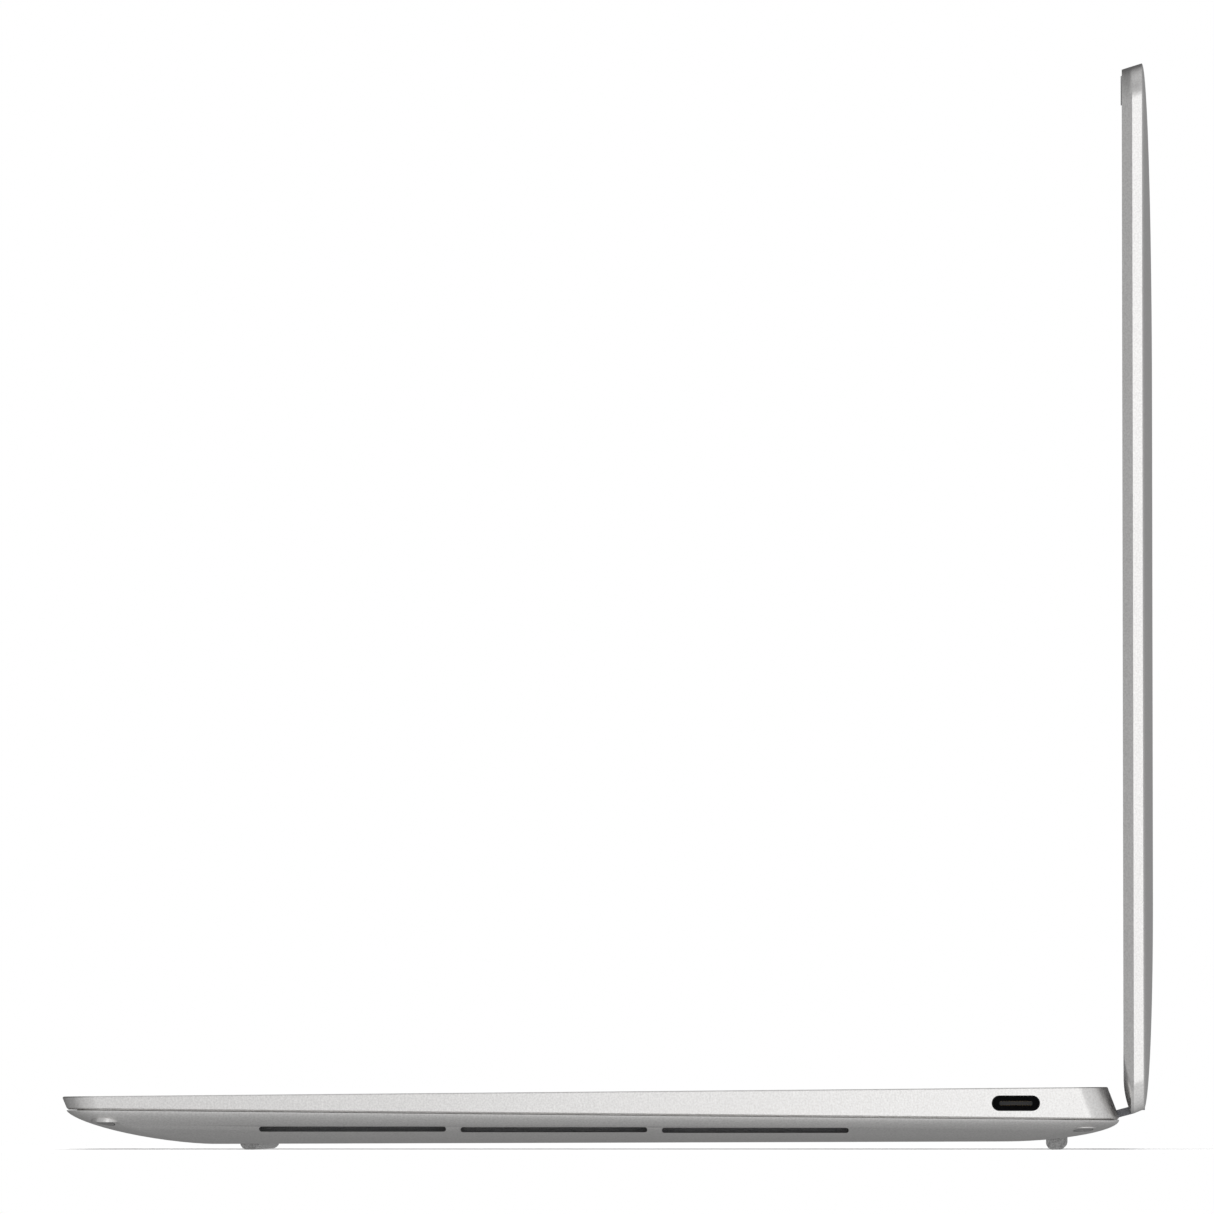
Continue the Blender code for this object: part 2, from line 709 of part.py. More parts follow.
def make_keys(deck):
    """Each key node. Keys that share a node are joined by a bridge below the deck."""
    for name, cells in key_cells():
        caps = [inset_cell(cell, KEY_WEB / 2 + GAP) for cell in cells]
        x = (caps[0][0] + caps[-1][1]) / 2
        y = (caps[0][2] + caps[0][3]) / 2
        local = [(x0 - x, x1 - x, y0 - y, y1 - y) for x0, x1, y0, y1 in caps]
        key = piece(name, loft(keycap(*local[0])), deck, "key_plastic", location=(x, y, 0))
        if len(local) == 1:
            continue
        low = -KEY_TOP_DROP - KEY_HEIGHT
        reach = min(KEY_BRIDGE_DEPTH, local[0][3] - local[0][2] - 2) / 2
        ends = (local[0][0] + 1, local[-1][1] - 1)
        bridge = box(*ends, -reach, reach, low + 0.05, low + KEY_BRIDGE_HEIGHT)
        join(key, f"{name}_bridge", bridge, deck, location=(x, y, 0))
        for index, cap in enumerate(local[1:]):
            join(key, f"{name}_cap_{index + 2}", loft(keycap(*cap)), deck, location=(x, y, 0))


def make_touchpad(deck):
    """A plate that tips about its rear edge when it is pressed."""
    pivot_y = TOUCHPAD_FRONT + TOUCHPAD_DEPTH - 1.0
    pivot_z = -TOUCHPAD_DROP - TOUCHPAD_THICKNESS / 2
    half = TOUCHPAD_WIDTH / 2
    outline = rounded(-half, half, TOUCHPAD_FRONT - pivot_y, 1.0, 1.5, 2)
    plate = prism(outline, -TOUCHPAD_THICKNESS / 2, TOUCHPAD_THICKNESS / 2)
    piece("touchpad", plate, deck, "touch_glass", location=(0, pivot_y, pivot_z))


def make_ports(base):
    """USB-C sockets: a pressed shell with a tongue inside."""
    outside = capsule((0, 0), SHELL_WIDTH, SHELL_HEIGHT, 6)
    inside = capsule((0, 0), SHELL_WIDTH - 2 * SHELL_WALL, SHELL_HEIGHT - 2 * SHELL_WALL, 6)
    mouth = HALF_WIDTH - CASE_WALL - GAP
    for side, name in ((-1, "usb_c_port_left"), (1, "usb_c_port_right")):
        ends = sorted((0, -side * SHELL_LENGTH))
        place = (side * mouth, PORT_Y, PORT_Z)
        port = piece(name, prism(outside, *ends, "X"), base, "steel", place, smooth=40)
        hollow = sorted((side * 1.0, -side * (SHELL_LENGTH - 0.7)))
        cut(port, f"{name}_hollow", prism(inside, *hollow, "X"), base, place)
        x0, x1 = sorted((-side * 1.6, -side * (SHELL_LENGTH - 0.4)))
        join(port, f"{name}_tongue", box(x0, x1, -3.1, 3.1, -0.33, 0.33), base, place)


def make_battery(base):
    """Five flat cells side by side in one wrap."""
    half, low, high = BATTERY_HALF, BATTERY_BOTTOM, BATTERY_TOP
    width = 2 * half / BATTERY_CELLS
    outline = [(-half, low), (half, low)]
    for index in reversed(range(BATTERY_CELLS)):
        left = -half + index * width
        right = left + width
        outline += [(right, high - BATTERY_GROOVE), (right - 1.2, high), (left + 1.2, high)]
    outline.append((-half, high - BATTERY_GROOVE))
    wrap = prism(outline, BATTERY_FRONT, BATTERY_REAR, "Y")
    piece("battery", wrap, base, "battery_wrap")


def make_mainboard(base):
    """The circuit board with its processor, memory and connectors, and the drive above it."""
    front, top = BOARD_FRONT, BOARD_TOP
    sheet = box(-BOARD_HALF, BOARD_HALF, front, front + BOARD_DEPTH, BOARD_BOTTOM, top)
    board = piece("mainboard", sheet, base, "circuit_board")
    chips = [(-14, 14, front + 18, front + 36, top - 0.1, top + 0.5)]
    for side in (-1, 1):
        for near, far, start, depth, tall in (
            (22, 34, 6, 11, 0.9),
            (22, 34, 22, 11, 0.9),
            (44, 58, 2, 5, 1.5),
            (40, 56, 22, 12, 0.8),
        ):
            x0, x1 = sorted((side * near, side * far))
            y = front + start
            chips.append((x0, x1, y, y + depth, top - 0.1, top + tall))
    join(board, "board_chips", boxes(chips), base)
    drive = box(-56, -34, front + 44, front + 74, top + GAP, top + 1.9)
    piece("solid_state_drive", drive, base, "circuit_board")


def fin_comb(centre, half, low, high, fins):
    """The section of a fin stack: a base strip with fins that hang from it."""
    pitch = 2 * half / fins
    outline = [(centre - half, high), (centre - half, low)]
    for index in range(fins):
        left = centre - half + index * pitch
        outline += [(left + pitch * 0.4, low), (left + pitch * 0.4, high - 0.5)]
        outline += [(left + pitch, high - 0.5), (left + pitch, low)]
    outline = outline[:-2] + [(centre + half, high - 0.5), (centre + half, high)]
    return outline


def make_cooler(base):
    """A cold plate, a flat heat pipe and a fin stack behind each fan, soldered together."""
    low, high, half = PLATE_BOTTOM, PLATE_TOP, COLD_PLATE_HALF
    front, rear = BOARD_FRONT + 12, BOARD_FRONT + 41
    cooler = piece("cooler", box(-half, half, front, rear, low, high), base, "copper")
    pipe_rear = CROSS_PIPE_FRONT + 4
    pipe = box(-PIPE_HALF, PIPE_HALF, rear - 1, pipe_rear, low + 0.05, high - 0.05)
    join(cooler, "cooler_pipe", pipe, base)
    reach = FAN_X + FINS_HALF + 1
    cross_rear = CROSS_PIPE_FRONT + CROSS_PIPE_DEPTH
    cross = box(-reach, reach, CROSS_PIPE_FRONT, cross_rear, low, high)
    join(cooler, "cooler_cross_pipe", cross, base)
    for side, name in ((-1, "left"), (1, "right")):
        comb = fin_comb(side * FAN_X, FINS_HALF, low - 1.6, low + 0.2, FINS)
        fins = prism(comb, FINS_FRONT, FINS_FRONT + FINS_DEPTH, "Y")
        join(cooler, f"cooler_fins_{name}", fins, base)


def make_fans(base):
    """Two blowers: a flat housing that is open below and behind, and the impeller in it."""
    for side, name in ((-1, "left"), (1, "right")):
        place = (side * FAN_X, FAN_Y, FAN_BOTTOM)
        half_w, half_d = FAN_WIDTH / 2, FAN_DEPTH / 2
        shell = prism(rounded(-half_w, half_w, -half_d, half_d, 8, 3), 0, FAN_HEIGHT)
        housing = piece(f"fan_housing_{name}", shell, base, "dark_plastic", place)
        room = IMPELLER_RADIUS + 1.2
        chamber = prism(circle((0, 0), room, 28), FAN_WALL, FAN_HEIGHT - FAN_WALL)
        cut(housing, f"fan_chamber_{name}", chamber, base, place)
        intake = prism(circle((0, 0), IMPELLER_RADIUS * 0.72, 20), -1, FAN_WALL + 0.5)
        cut(housing, f"fan_intake_{name}", intake, base, place)
        outlet = box(-room + 2, room - 2, 4, half_d + 2, FAN_WALL + 0.1, FAN_HEIGHT - FAN_WALL - 0.1)
        cut(housing, f"fan_outlet_{name}", outlet, base, place)
        post = prism(circle((0, 0), 1.0, 10), FAN_WALL + 0.6, FAN_HEIGHT - 0.1)
        join(housing, f"fan_post_{name}", post, base, place)
        outline = []
        for blade in range(BLADES):
            start = 2 * math.pi * blade / BLADES
            for angle, share in BLADE_SHAPE:
                radius = IMPELLER_RADIUS * share if share else HUB_RADIUS
                turn = start + angle
                outline.append((radius * math.cos(turn), radius * math.sin(turn)))
        low, high = FAN_WALL + GAP, FAN_HEIGHT - FAN_WALL - GAP
        wheel = piece(f"fan_impeller_{name}", prism(outline, low, high), base, "dark_plastic", place)
        cut(wheel, f"fan_bore_{name}", prism(circle((0, 0), 1.4, 10), 0, FAN_HEIGHT), base, place)


def make_speakers(base):
    for side, name in ((-1, "speaker_left"), (1, "speaker_right")):
        x0, x1 = sorted((side * SPEAKER_NEAR, side * SPEAKER_FAR))
        outline = rounded(x0, x1, SPEAKER_FRONT, SPEAKER_REAR, 3, 2)
        speaker = piece(name, prism(outline, 3.9, 6.6), base, "dark_plastic")
        middle = ((x0 + x1) / 2, (SPEAKER_FRONT + SPEAKER_REAR) / 2)
        cone = prism(circle(middle, SPEAKER_CONE_RADIUS, 16), 0, 4.5)
        cut(speaker, f"{name}_cone", cone, base)


def strip_outline():
    """The section of the hinge cover: a barrel with a neck that reaches the lid."""
    barrel = arc((0, 0), BARREL_RADIUS, 12, 332, 20)
    neck = [(5.75, LID_BOTTOM), (8.5, 0.0), (8.5, STRIP_TOP), (5.3, STRIP_TOP)]
    return barrel + neck


def make_hinges(base, hinge):
    """The hinge cover, and on each side a steel arm on the lid and a bracket with a pin."""
    inner = HINGE_HALF - HINGE_ARM_LENGTH - GAP
    strip = prism(strip_outline(), -inner, inner, "X")
    piece("hinge_cover", strip, hinge, "dark_plastic", smooth=40)
    near, far = bracket_span()
    for side, name in ((-1, "left"), (1, "right")):
        x0, x1 = sorted((side * (inner + GAP), side * HINGE_HALF))
        arm = piece(f"hinge_arm_{name}", prism(strip_outline(), x0, x1, "X"), hinge, "steel", smooth=40)
        bore = circle((0, 0), PIN_RADIUS + PIN_CLEARANCE, 24)
        cut(arm, f"arm_bore_{name}", prism(bore, x0 - 1, x1 + 1, "X"), hinge)
        tab = box(x0, x1, 6.0, 7.4, STRIP_TOP - 0.4, PANEL_BOTTOM - 1.2)
        join(arm, f"arm_tab_{name}", tab, hinge)
        y = HINGE_Y
        x2, x3 = sorted((side * near, side * far))
        block = box(x2, x3, CAVITY_REAR + 0.6, y + 1.85 - GAP, 5.9, DECK_REAR_HEIGHT - 1.5 - GAP)
        bracket = piece(f"hinge_bracket_{name}", block, base, "steel")
        x4, x5 = sorted((side * (inner + 2 * GAP + 0.4), side * (far - 1)))
        pin = prism(circle((y, HINGE_Z), PIN_RADIUS, 24), x4, x5, "X")
        join(bracket, f"bracket_pin_{name}", pin, base)


def lid_outline(y, side_in, top, bottom, radius):
    """A ring of the lid at one distance behind the hinge axis."""
    half = HALF_WIDTH - side_in
    return [(x, y, z) for x, z in rounded(-half, half, bottom, top, radius)]


def make_lid_cover(hinge):
    """The aluminium lid: a chamfered front rim, upright sides and a softly domed back."""
    def top_at(y):
        return LID_TOP - LID_TOP_LEAN * (LID_WALL_END - y) / (LID_WALL_END - LID_FRONT)

    rings = []
    for share in (0.0, 0.4, 0.7, 1.0):
        y = LID_FRONT + LID_FOOT_DEPTH * share**LID_FOOT_ROUNDNESS
        side = LID_SIDE_CHAMFER * (LID_CHAMFER_END - y) / (LID_CHAMFER_END - LID_FRONT)
        foot = LID_BOTTOM + LID_FOOT_HEIGHT * (1 - share)
        rings.append(lid_outline(y, side, top_at(y), foot, LID_CORNER_RADIUS))
    wall_top = top_at(LID_CHAMFER_END)
    rings.append(lid_outline(LID_CHAMFER_END, 0, wall_top, LID_BOTTOM, LID_CORNER_RADIUS))
    rings.append(lid_outline(LID_WALL_END, 0, LID_TOP, 0.0, LID_CORNER_RADIUS))
    side_curve, top_curve, bottom_curve = LID_BACK_CURVES
    for degrees in (10, 25, 42, 60, 75, 90):
        angle = math.radians(degrees)
        y = LID_WALL_END + (LID_BACK - LID_WALL_END) * math.sin(angle)
        share = 1 - math.cos(angle)
        radius = LID_CORNER_RADIUS + side_curve * share / 2
        top, bottom = LID_TOP - top_curve * share, bottom_curve * share
        rings.append(lid_outline(y, side_curve * share, top, bottom, radius))
    lid = piece("lid_cover", loft(rings), hinge, "aluminium", smooth=30)
    half = HALF_WIDTH - LID_RIM
    seat = LID_FRONT + GLASS_DROP + GLASS_THICKNESS + GAP
    top = top_at(LID_FRONT) - LID_RIM + LID_SIDE_CHAMFER
    recess = prism(rounded(-half, half, GLASS_BOTTOM - GAP, top, 4.5), 0, seat, "Y")
    cut(lid, "lid_glass_recess", recess, hinge)
    half = HALF_WIDTH - PANEL_SIDE_MARGIN + GAP
    pocket = box(-half, half, 0, PANEL_POCKET_END, GLASS_BOTTOM + 2, PANEL_TOP + CAMERA_ROOM)
    cut(lid, "lid_panel_pocket", pocket, hinge)
    notch_half = HINGE_HALF + GAP
    notch = box(-notch_half, notch_half, 0, 20, -10, STRIP_TOP + GAP)
    cut(lid, "lid_hinge_notch", notch, hinge)
    pockets = []
    for side in (-1, 1):
        x0, x1 = sorted((side * (HINGE_HALF - HINGE_ARM_LENGTH - GAP), side * notch_half))
        pockets.append((x0, x1, 6.0 - GAP, 7.4 + GAP, 0, PANEL_BOTTOM - 1))
    cut(lid, "lid_arm_pockets", boxes(pockets), hinge)


def make_display(hinge):
    """The cover glass, its gasket, the display panel and the camera behind the glass."""
    recess_half = HALF_WIDTH - LID_RIM
    front_top = LID_TOP - LID_TOP_LEAN
    recess_top = front_top - LID_RIM + LID_SIDE_CHAMFER
    gasket_half, gasket_top = recess_half - GAP, recess_top - GAP
    glass_half, glass_top = gasket_half - GASKET_WIDTH - GAP, gasket_top - GASKET_WIDTH - GAP
    low, high = LID_FRONT + 0.05, LID_FRONT + GLASS_DROP + GLASS_THICKNESS
    outline = rounded(-gasket_half, gasket_half, GLASS_BOTTOM, gasket_top, 4.2)
    gasket = piece("display_gasket", prism(outline, low, high, "Y"), hinge, "rubber")
    bumper_half = gasket_half - 4.2
    front, rear, top = low - BUMPER_HEIGHT, high - 0.1, gasket_top - 0.05
    bumper = box(-bumper_half, bumper_half, front, rear, top - 0.55, top)
    join(gasket, "gasket_bumper", bumper, hinge)
    glass_bottom = GLASS_BOTTOM + GASKET_WIDTH + GAP
    inside = (-glass_half - GAP, glass_half + GAP, glass_bottom - GAP, glass_top + GAP)
    cut(gasket, "gasket_hole", prism(rounded(*inside, 3.5), 0, 20, "Y"), hinge)
    outline = rounded(-glass_half, glass_half, glass_bottom, glass_top, 3.2)
    glass = prism(outline, LID_FRONT + GLASS_DROP, high, "Y")
    piece("display_glass", glass, hinge, "screen_glass")
    half = HALF_WIDTH - PANEL_SIDE_MARGIN
    front = high + GAP
    panel = box(-half, half, front, front + PANEL_THICKNESS, PANEL_BOTTOM, PANEL_TOP)
    piece("display_panel", panel, hinge, "dark_plastic")
    camera_low, camera_high = PANEL_TOP + GAP, PANEL_TOP + CAMERA_ROOM - GAP
    body = box(-CAMERA_HALF, CAMERA_HALF, front, CAMERA_BACK, camera_low, camera_high)
    camera = piece("camera_module", body, hinge, "dark_plastic")
    middle = (camera_low + camera_high) / 2
    lens = prism(circle((0, middle), CAMERA_LENS_RADIUS, 12), 0, front + 0.5, "Y")
    cut(camera, "camera_lens", lens, hinge)


def main():
    clear_scene()
    base = frame("base_frame", None, (0, -ORIGIN_Y, 0))
    deck = frame("deck_frame", base, (0, 0, DECK_FRONT_HEIGHT), DECK_SLOPE)
    hinge = frame("hinge_frame", base, (0, HINGE_Y, HINGE_Z), math.radians(LID_LEAN))
    make_top_case(base, deck)
    make_bottom_cover(base)
    make_feet(base)
    make_screws(base)
    make_keyboard_plate(deck)
    make_keys(deck)
    make_touchpad(deck)
    make_ports(base)
    make_battery(base)
    make_mainboard(base)
    make_cooler(base)
    make_fans(base)
    make_speakers(base)
    make_hinges(base, hinge)
    make_lid_cover(hinge)
    make_display(hinge)


main()
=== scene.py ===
# %% [markdown]
# # A thin aluminium laptop, standing open
#
# The imported model gives the fixed frame: where every piece is and which body it moves with.
# This lesson makes the surfaces on top of it. It starts by loading the frame.

# %% Load the frame
import math

import bpy
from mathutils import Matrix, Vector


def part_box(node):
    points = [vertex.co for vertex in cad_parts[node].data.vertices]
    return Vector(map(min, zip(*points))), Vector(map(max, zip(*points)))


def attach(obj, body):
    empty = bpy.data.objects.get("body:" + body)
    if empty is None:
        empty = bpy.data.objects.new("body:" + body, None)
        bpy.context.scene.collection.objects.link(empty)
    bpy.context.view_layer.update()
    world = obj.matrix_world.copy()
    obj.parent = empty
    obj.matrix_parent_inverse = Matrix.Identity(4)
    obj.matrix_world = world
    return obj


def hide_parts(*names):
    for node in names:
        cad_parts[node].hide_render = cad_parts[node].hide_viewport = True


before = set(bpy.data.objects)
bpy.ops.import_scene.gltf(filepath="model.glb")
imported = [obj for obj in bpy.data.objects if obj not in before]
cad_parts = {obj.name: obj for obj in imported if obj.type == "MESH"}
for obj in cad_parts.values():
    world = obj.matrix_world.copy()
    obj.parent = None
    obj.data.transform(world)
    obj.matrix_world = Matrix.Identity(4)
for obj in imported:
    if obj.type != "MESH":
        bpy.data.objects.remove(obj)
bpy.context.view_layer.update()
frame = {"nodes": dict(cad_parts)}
MM = 0.001

# %% [markdown]
# ## Sizes
#
# A laptop's base is a wedge: deck, seam and bottom are three planes that slope differently.
# The frame's boxes give the outer size. The slopes are named here, in millimetres, and every
# later size is worked out from them. Lengths along the laptop are counted from the base's
# front edge, and `at` turns such a place into the frame's metres.

# %% Sizes and places
case_low, case_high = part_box("top_case")
FRONT = case_low.y
HALF_WIDTH = case_high.x / MM
DECK_DEPTH = 195.7
DECK_HEIGHTS = (9.97, 11.75)
SEAM_HEIGHTS = (7.47, 5.57)
BOTTOM_HEIGHTS = (1.0, 1.6)
GAP = 0.3
NOSE_LEAN, TAIL_LEAN = 0.75, 2.1
CORNER_RADIUS = 6.0
SEAM_GAP = 0.06
DECK_THICKNESS = 1.0
HINGE_Y, HINGE_Z = 194.15, 7.54
DECK_TILT = math.atan2(DECK_HEIGHTS[1] - DECK_HEIGHTS[0], DECK_DEPTH)
LID_TILT = math.radians(0.1)


def at(x, y, z):
    """A place in millimetres, counted from the base's front edge, in the frame's metres."""
    return (x * MM, FRONT + y * MM, z * MM)


def height(plane, y):
    """The height at y of a plane given by its heights at the deck's two ends."""
    return plane[0] + (plane[1] - plane[0]) * y / DECK_DEPTH


print("half width", round(HALF_WIDTH, 2), "mm, deck tilt", round(math.degrees(DECK_TILT), 3))

# %% [markdown]
# ## Camera, floor and light
#
# The view is the one a maker would draw: straight from the side, with the deck and the screen
# both edge-on. A very long lens stands far off, level with the corner where deck and lid meet,
# so neither surface shows. Large soft panels light the metal from the camera's side and from
# above, because brushed and blasted metal shows what it reflects more than what shines on it.

# %% Camera
SENSOR = 36.0
FRAME_WIDTH = 227.17 * MM
FRAME_CENTRE = (HALF_WIDTH * MM, -0.13 * MM, 101.57 * MM)
CAMERA_DISTANCE = 10.5
eye = (FRAME_CENTRE[0] + CAMERA_DISTANCE, FRONT + 198.4 * MM, 11.0 * MM)
bpy.ops.object.camera_add(location=eye)
camera = bpy.context.object
aim = [there - here for here, there in zip(eye, FRAME_CENTRE)]
distance = math.sqrt(sum(step * step for step in aim))
camera.rotation_euler = (
    math.acos(-aim[2] / distance),
    0,
    math.atan2(-aim[0], aim[1]),
)
camera.data.sensor_width = SENSOR
camera.data.lens = SENSOR * distance / FRAME_WIDTH
camera.data.clip_start, camera.data.clip_end = 0.1, 100
bpy.context.scene.camera = camera
print("lens", round(camera.data.lens), "mm at", round(distance, 2), "m")

# %% [markdown]
# ## Colours and nodes
#
# Colours are written as they look on a screen, and shaders want them linear, so one helper
# converts them. Another adds a node with its settings, values and links in one call, which
# keeps each material short enough to read.

# %% Colours and node helpers
def linear(hex_colour):
    """An sRGB hex colour as the linear values that a shader takes."""
    parts = [int(hex_colour[i : i + 2], 16) / 255 for i in (1, 3, 5)]
    return (*[c / 12.92 if c <= 0.04045 else ((c + 0.055) / 1.055) ** 2.4 for c in parts], 1.0)


def add(material, kind, inputs=None, **settings):
    """Adds a node with its settings. An input is a value, or an (other node, output name) link."""
    node = material.node_tree.nodes.new(kind)
    for name, value in settings.items():
        setattr(node, name, value)
    for name, value in (inputs or {}).items():
        if isinstance(value, tuple) and hasattr(value[0], "outputs"):
            material.node_tree.links.new(value[0].outputs[value[1]], node.inputs[name])
        else:
            node.inputs[name].default_value = value
    return node


def new_material(name, **values):
    """A Principled material with values set on the shader's own sockets, and that shader."""
    material = bpy.data.materials.new(name)
    material.use_nodes = True
    shader = material.node_tree.nodes["Principled BSDF"]
    for socket, value in values.items():
        shader.inputs[socket.replace("_", " ")].default_value = value
    return material, shader


def link(material, node, output, target, socket):
    material.node_tree.links.new(node.outputs[output], target.inputs[socket])


# %% [markdown]
# ## Floor
#
# A small white plane that glows a little stands for the table. It is left out of reflections,
# because the underside would otherwise mirror it and turn white.

# %% Floor
floor_material, floor_shader = new_material(
    "seamless paper, pale", Roughness=0.9, Emission_Color=linear("#FFFFFF"), Emission_Strength=0.3
)
grain = add(floor_material, "ShaderNodeTexCoord")
speck = add(floor_material, "ShaderNodeTexNoise", {"Vector": (grain, "Object"), "Scale": 60.0})
tint = add(
    floor_material,
    "ShaderNodeMix",
    {"Factor": (speck, "Fac"), "A": linear("#FAFAFA"), "B": linear("#FEFEFE")},
    data_type="RGBA",
)
link(floor_material, tint, "Result", floor_shader, "Base Color")
bpy.ops.mesh.primitive_plane_add(size=1.3, location=(0, 0, 0))
floor = bpy.context.object
floor.name = "floor"
floor.data.materials.append(floor_material)
floor.visible_glossy = False

# %% [markdown]
# ## Light
#
# The camera sees plain white, while the metal sees a world whose strength depends on direction.
# A picture of a studio could be wrapped round instead, but a few nodes say what is where.

# %% Light
world = bpy.data.worlds.new("studio")
bpy.context.scene.world = world
world.use_nodes = True
seen = world.node_tree.nodes["Background"]
seen.inputs["Color"].default_value = linear("#FFFFFF")
# Reflections are brightest from the camera's side and above, and darken straight to the front
# and the rear, which draws the rounded corners and the cover's underside.
direction = add(world, "ShaderNodeTexCoord")
axes = add(world, "ShaderNodeSeparateXYZ", {"Vector": (direction, "Generated")})
sideways = add(world, "ShaderNodeMath", {0: (axes, "Y")}, operation="ABSOLUTE")
upright = add(
    world,
    "ShaderNodeMapRange",
    {"Value": (axes, "Z"), "From Min": -0.35, "From Max": -0.05, "To Min": 0.3, "To Max": 0.75},
)
corners = add(
    world,
    "ShaderNodeMapRange",
    {
        "Value": (sideways, "Value"),
        "From Min": 0.88,
        "From Max": 1.0,
        "To Min": 1.0,
        "To Max": (upright, "Result"),
    },
)
slope = add(
    world,
    "ShaderNodeVectorMath",
    {0: (direction, "Generated"), 1: (0.26, 0.05, -0.15)},
    operation="DOT_PRODUCT",
)
behind = add(
    world,
    "ShaderNodeMapRange",
    {"Value": (axes, "Y"), "From Min": 0.0, "From Max": 1.0, "To Min": 0.39, "To Max": 0.66},
)
overhead = add(
    world,
    "ShaderNodeMapRange",
    {"Value": (axes, "Z"), "From Min": 0.7, "From Max": 1.0, "To Min": 0.0, "To Max": 0.4},
)
total = add(world, "ShaderNodeMath", {0: (slope, "Value"), 1: (behind, "Result")}, operation="ADD")
raised = add(
    world, "ShaderNodeMath", {0: (total, "Value"), 1: (overhead, "Result")}, operation="ADD"
)
level = add(
    world, "ShaderNodeMath", {0: (raised, "Value"), 1: (corners, "Result")}, operation="MULTIPLY"
)
around = add(
    world, "ShaderNodeBackground", {"Color": linear("#FFFFFF"), "Strength": (level, "Value")}
)
ray = add(world, "ShaderNodeLightPath")
blend = add(world, "ShaderNodeMixShader", {"Fac": (ray, "Is Camera Ray")})
link(world, around, "Background", blend, 1)
link(world, seen, "Background", blend, 2)
link(world, blend, "Shader", world.node_tree.nodes["World Output"], "Surface")
bpy.context.scene.view_settings.view_transform = "Standard"


def softbox(name, location, target, width, depth, power):
    """A soft panel that faces a point."""
    bpy.ops.object.light_add(type="AREA", location=location)
    lamp = bpy.context.object
    lamp.name = name
    lamp.data.shape = "RECTANGLE"
    lamp.data.size, lamp.data.size_y = width, depth
    lamp.data.energy = power
    step = [b - a for a, b in zip(location, target)]
    length = math.sqrt(sum(v * v for v in step))
    lamp.rotation_euler = (math.acos(-step[2] / length), 0, math.atan2(-step[0], step[1]))
    return lamp


key_panel = softbox("key panel", (0.9, 0.14, 0.1), (0.147, 0.17, 0.1), 0.3, 0.5, 0.4)
key_panel.visible_camera = False
top_panel = softbox("top panel", (0.1, 0.0, 1.6), (0, 0, 0), 1.6, 1.6, 16.0)
top_panel.visible_glossy = False

# %% [markdown]
# ## Modelling by hand, in code
#
# Every piece starts as a primitive and is shaped in edit mode, as it would be by hand. The frame
# arrives with its nodes selected, so a helper clears the selection before anything is added.
# `shape_up` is the one move that all three shells of this laptop share: a plate with round
# corners whose face is extruded, moved, scaled and tilted again and again, which is how a
# forged aluminium shell could be drawn from a flat outline.

# %% Helpers for meshes
def clear_selection():
    if bpy.context.object and bpy.context.object.mode != "OBJECT":
        bpy.ops.object.mode_set(mode="OBJECT")
    bpy.ops.object.select_all(action="DESELECT")


def tilt_selected(angle, centre):
    """Turns the selection about X so that its rear rises. Without a window the sign is turned."""
    if abs(angle) > 1e-7:
        bpy.ops.transform.rotate(value=-angle, orient_axis="X", center_override=centre)


def shape_up(name, rings, corner=CORNER_RADIUS, segments=10, at=at):
    """A closed shell through (half width, front, rear, front height, rear height) rings."""
    clear_selection()
    half, front, rear, z0, z1 = rings[0]
    middle = (front + rear) / 2
    bpy.ops.mesh.primitive_plane_add(size=2, location=at(0, middle, (z0 + z1) / 2))
    piece = bpy.context.object
    piece.name = name
    piece.scale = (half * MM, (rear - front) / 2 * MM, 1)
    bpy.ops.object.transform_apply(location=True, rotation=True, scale=True)
    bpy.ops.object.mode_set(mode="EDIT")
    bpy.ops.mesh.select_all(action="SELECT")
    bpy.ops.mesh.bevel(offset=corner * MM, segments=segments, affect="VERTICES")
    tilt = math.atan2(z1 - z0, rear - front)
    tilt_selected(tilt, at(0, middle, (z0 + z1) / 2))
    for new_half, new_front, new_rear, new_z0, new_z1 in rings[1:]:
        new_middle = (new_front + new_rear) / 2
        move = [0, (new_middle - middle) * MM, (new_z0 + new_z1 - z0 - z1) / 2 * MM]
        bpy.ops.mesh.extrude_region_move(TRANSFORM_OT_translate={"value": move})
        centre = at(0, new_middle, (new_z0 + new_z1) / 2)
        tilt_selected(-tilt, centre)
        grow = (new_half / half, (new_rear - new_front) / (rear - front), 1)
        bpy.ops.transform.resize(value=grow, center_override=centre)
        tilt = math.atan2(new_z1 - new_z0, new_rear - new_front)
        tilt_selected(tilt, centre)
        half, front, rear, z0, z1, middle = new_half, new_front, new_rear, new_z0, new_z1, new_middle
    bpy.ops.mesh.select_all(action="SELECT")
    bpy.ops.mesh.normals_make_consistent(inside=False)
    bpy.ops.object.mode_set(mode="OBJECT")
    return piece


def carve(piece, cutter, operation="DIFFERENCE"):
    """Cuts a shape out of a piece, or joins it on, and removes the shape."""
    modifier = piece.modifiers.new("carve", "BOOLEAN")
    modifier.object = cutter
    modifier.operation = operation
    modifier.solver = "EXACT"
    clear_selection()
    bpy.context.view_layer.objects.active = piece
    bpy.ops.object.modifier_apply(modifier=modifier.name)
    bpy.data.objects.remove(cutter)
    return piece


def smooth(piece, degrees=28):
    clear_selection()
    piece.select_set(True)
    bpy.context.view_layer.objects.active = piece
    bpy.ops.object.shade_smooth_by_angle(angle=math.radians(degrees))
    weigh = piece.modifiers.new("normals", "WEIGHTED_NORMAL")
    weigh.keep_sharp = True
    bpy.ops.object.modifier_apply(modifier=weigh.name)
    piece.select_set(False)


